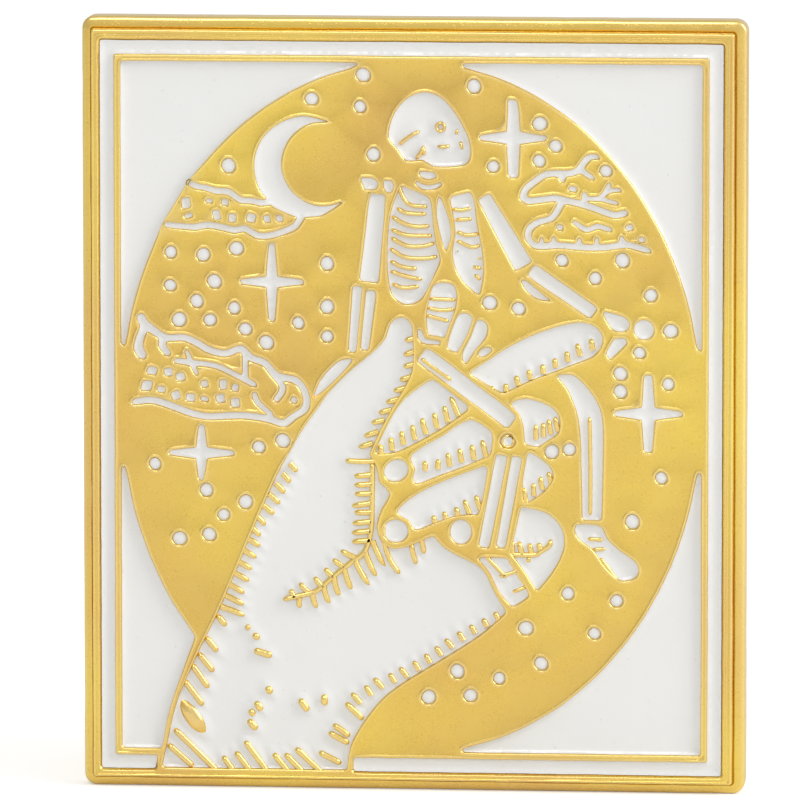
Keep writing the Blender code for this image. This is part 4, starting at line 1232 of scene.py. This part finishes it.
def eased(profile, radius=0.11, steps=4):
    """Rounds the corners of a closed profile."""
    outline = []
    count = len(profile)
    for i in range(count):
        corner = Vector(profile[i])
        ends = []
        for other in (profile[i - 1], profile[(i + 1) % count]):
            side = Vector(other) - corner
            ends.append(corner + side.normalized() * min(radius, 0.42 * side.length))
        for k in range(steps + 1):
            t = k / steps
            outline.append(tuple(ends[0] * (1 - t) ** 2 + corner * 2 * t * (1 - t)
                                 + ends[1] * t * t))
    return outline


def window_cutter(across, side):
    """Rounded block as wide as a wing, in metres."""
    shape = bmesh.new()
    rows = []
    middle = POST_HEIGHT + side * (WINDOW_NEAR + WINDOW_FAR) / 2
    half_tall = (WINDOW_FAR - WINDOW_NEAR) / 2
    for depth in WINDOW_DEPTHS:
        row = []
        for turn, (sx, sz) in enumerate(((1, 1), (-1, 1), (-1, -1), (1, -1))):
            for k in range(5):
                angle = math.pi / 2 * (turn + k / 4)
                x = across + sx * (WINDOW_HALF - WINDOW_CORNER) + WINDOW_CORNER * math.cos(angle)
                z = middle + sz * (half_tall - WINDOW_CORNER) + WINDOW_CORNER * math.sin(angle)
                row.append(shape.verts.new((x * MM, (CLUTCH_SEAT + depth) * MM, z * MM)))
        rows.append(row)
    shape.faces.new(rows[0])
    shape.faces.new(list(reversed(rows[1])))
    for k in range(len(rows[0])):
        j = (k + 1) % len(rows[0])
        shape.faces.new((rows[0][k], rows[1][k], rows[1][j], rows[0][j]))
    bmesh.ops.recalc_face_normals(shape, faces=shape.faces)
    mesh = bpy.data.meshes.new("window")
    shape.to_mesh(mesh)
    shape.free()
    return bpy.data.objects.new("window", mesh)


def windowed(shape, across):
    """Cuts the two windows through the cover and returns it as a bmesh."""
    mesh = bpy.data.meshes.new("cover")
    shape.to_mesh(mesh)
    shape.free()
    blank = bpy.data.objects.new("cover", mesh)
    pieces = [blank, window_cutter(across, 1), window_cutter(across, -1)]
    for piece in pieces:
        bpy.context.scene.collection.objects.link(piece)
    for cutter in pieces[1:]:
        cut = blank.modifiers.new("window", "BOOLEAN")
        cut.object = cutter
        cut.operation = "DIFFERENCE"
        cut.solver = "EXACT"
    ready = blank.evaluated_get(bpy.context.evaluated_depsgraph_get())
    cut_mesh = bpy.data.meshes.new_from_object(ready)
    for piece in pieces:
        bpy.data.objects.remove(piece)
    result = bmesh.new()
    result.from_mesh(cut_mesh)
    return result


def wing_shape(across, side):
    """Sprung strip with round edges and a pressed spine, as a bmesh in metres."""
    stations = flowing(WING_PATH, 0.16)
    shape = bmesh.new()
    rings = []
    half = WING_THICKNESS / 2
    for i, (out, back, wide) in enumerate(stations):
        ahead = stations[min(i + 1, len(stations) - 1)] - stations[max(i - 1, 0)]
        length = math.hypot(ahead[0], ahead[1])
        normal = (-ahead[1] / length, ahead[0] / length)
        ends = min(i, len(stations) - 1 - i)
        thin = half * min(1.0, 0.45 + 0.3 * ends)
        wide -= max(0.0, 0.22 - 0.12 * ends)
        spine = SPINE_RISE * min(1.0, max(0.0, (min(i - 3, len(stations) - 5 - i)) / 4))
        section = []
        for face in (1, -1):
            across_points = [(-wide, 0.25), (-wide + 0.05, 0.75), (-wide + 0.14, 1.0),
                             (-SPINE_WIDTH, 1.0), (-0.55 * SPINE_WIDTH, 1.0),
                             (0.55 * SPINE_WIDTH, 1.0), (SPINE_WIDTH, 1.0),
                             (wide - 0.14, 1.0), (wide - 0.05, 0.75), (wide, 0.25)]
            for x, share in across_points[::face]:
                lift = spine if abs(x) < 0.6 * SPINE_WIDTH else 0.0
                section.append((x, face * thin * share + lift))
        ring = []
        for x, off in section:
            ring.append(shape.verts.new((
                (across + x) * MM, (CLUTCH_SEAT + back + off * normal[1]) * MM,
                (POST_HEIGHT + side * (out + off * normal[0])) * MM)))
        rings.append(ring)
    for near, far in zip(rings, rings[1:]):
        for k in range(len(near)):
            j = (k + 1) % len(near)
            shape.faces.new((near[k], near[j], far[j], far[k]))
    for ring in (rings[0], rings[-1]):
        half_count = len(ring) // 2
        for k in range(half_count - 1):
            shape.faces.new((ring[k], ring[k + 1], ring[-2 - k], ring[-1 - k]))
    bmesh.ops.recalc_face_normals(shape, faces=shape.faces)
    return shape


for side, across in POST_PLACES.items():
    body = f"clutch_{side}"
    dish = turned_piece(eased(DISH_PROFILE), across, CLUTCH_SEAT, CLUTCH_SIDES, True)
    hand_over(f"pressed_dish_{side}", metal_mesh(dish, "dish"), BRASS,
              [f"clutch_{side}_dish"], body, 55)
    cover = windowed(turned_piece(eased(COVER_PROFILE), across, CLUTCH_SEAT, CLUTCH_SIDES, True),
                     across)
    hand_over(f"pressed_cover_{side}", metal_mesh(cover, "cover"), BRASS,
              [f"clutch_{side}_cover"], body, 40)
    for level, way in (("upper", 1), ("lower", -1)):
        wing = wing_shape(across, way)
        hand_over(f"sprung_wing_{side}_{level}", metal_mesh(wing, "wing"), BRASS,
                  [f"clutch_{side}_wing_{level}"], f"clutch_{side}_wing_{level}", 55)


# ------------------------------------------------------------------- stage
# A plain pale floor under soft white light.

def pale_floor():
    mesh = bpy.data.meshes.new("floor")
    reach, level = 0.7, -HALF_HEIGHT * MM - 0.00002
    mesh.from_pydata([(-reach, -reach, level), (reach, -reach, level), (reach, reach, level),
                      (-reach, reach, level)], [], [(0, 1, 2, 3)])
    floor = bpy.data.objects.new("floor", mesh)
    bpy.context.scene.collection.objects.link(floor)
    material, tree, shader = new_material("pale floor")
    place = tree.nodes.new("ShaderNodeTexCoord").outputs["Object"]
    speckle = scattered(tree, place, 60.0, 3.0)
    colour = blended(tree, speckle, (0.86, 0.86, 0.86, 1), (0.9, 0.9, 0.9, 1))
    tree.links.new(colour, shader.inputs["Base Color"])
    shader.inputs["Roughness"].default_value = 0.7
    shader.inputs["Specular IOR Level"].default_value = 0.1
    seen = tree.nodes.new("ShaderNodeLightPath").outputs["Is Camera Ray"]
    tree.links.new(seen, shader.inputs["Emission Strength"])
    shader.inputs["Emission Color"].default_value = (0.34, 0.34, 0.34, 1)
    mesh.materials.append(material)


pale_floor()

world = bpy.data.worlds.new("soft white room")
bpy.context.scene.world = world
world.use_nodes = True
tree = world.node_tree
ray = tree.nodes.new("ShaderNodeTexCoord").outputs["Generated"]
parts = wired(tree, "ShaderNodeSeparateXYZ", Vector=ray)
sideways = sums(tree, "MULTIPLY_ADD", parts.outputs[0], 0.5, 0.5)
glow = between(tree, sideways, 0.2, 0.9, 0.60, 0.92)
colour = blended(tree, sideways, (0.95, 0.93, 0.9, 1), (1.0, 1.0, 1.0, 1))
seen = tree.nodes.new("ShaderNodeLightPath").outputs["Is Camera Ray"]
strength = sums(tree, "MAXIMUM", glow, sums(tree, "MULTIPLY", seen, 1.2))
back = tree.nodes["Background"]
tree.links.new(colour, back.inputs["Color"])
tree.links.new(strength, back.inputs["Strength"])


def softbox(name, place, size, power, tint=(1, 1, 1)):
    lamp = bpy.data.lights.new(name, "AREA")
    lamp.shape = "RECTANGLE"
    lamp.size, lamp.size_y = size
    lamp.energy = power
    lamp.color = tint
    made = bpy.data.objects.new(name, lamp)
    made.location = place
    made.rotation_euler = (-Vector(place)).to_track_quat("-Z", "Y").to_euler()
    bpy.context.scene.collection.objects.link(made)


softbox("right box", (0.32, -0.12, 0.22), (0.16, 0.22), 0.7)
softbox("front box", (-0.1, -0.5, 0.45), (0.3, 0.2), 0.8)

CAMERA_AZIMUTH = math.radians(5.3)
CAMERA_ELEVATION = math.radians(6.9)
CAMERA_DISTANCE = 0.45
AIM = Vector((-0.00075, 0.0, 0.00007))
camera = bpy.data.cameras.new("camera")
camera.lens = 447.8
camera.sensor_width = 36.0
camera.clip_start, camera.clip_end = 0.01, 10.0
eye = bpy.data.objects.new("camera", camera)
away = Vector((math.sin(CAMERA_AZIMUTH) * math.cos(CAMERA_ELEVATION),
               -math.cos(CAMERA_AZIMUTH) * math.cos(CAMERA_ELEVATION),
               math.sin(CAMERA_ELEVATION)))
eye.location = AIM + away * CAMERA_DISTANCE
eye.rotation_euler = (-away).to_track_quat("-Z", "Y").to_euler()
bpy.context.scene.collection.objects.link(eye)
bpy.context.scene.camera = eye
bpy.context.scene.view_settings.view_transform = "Standard"
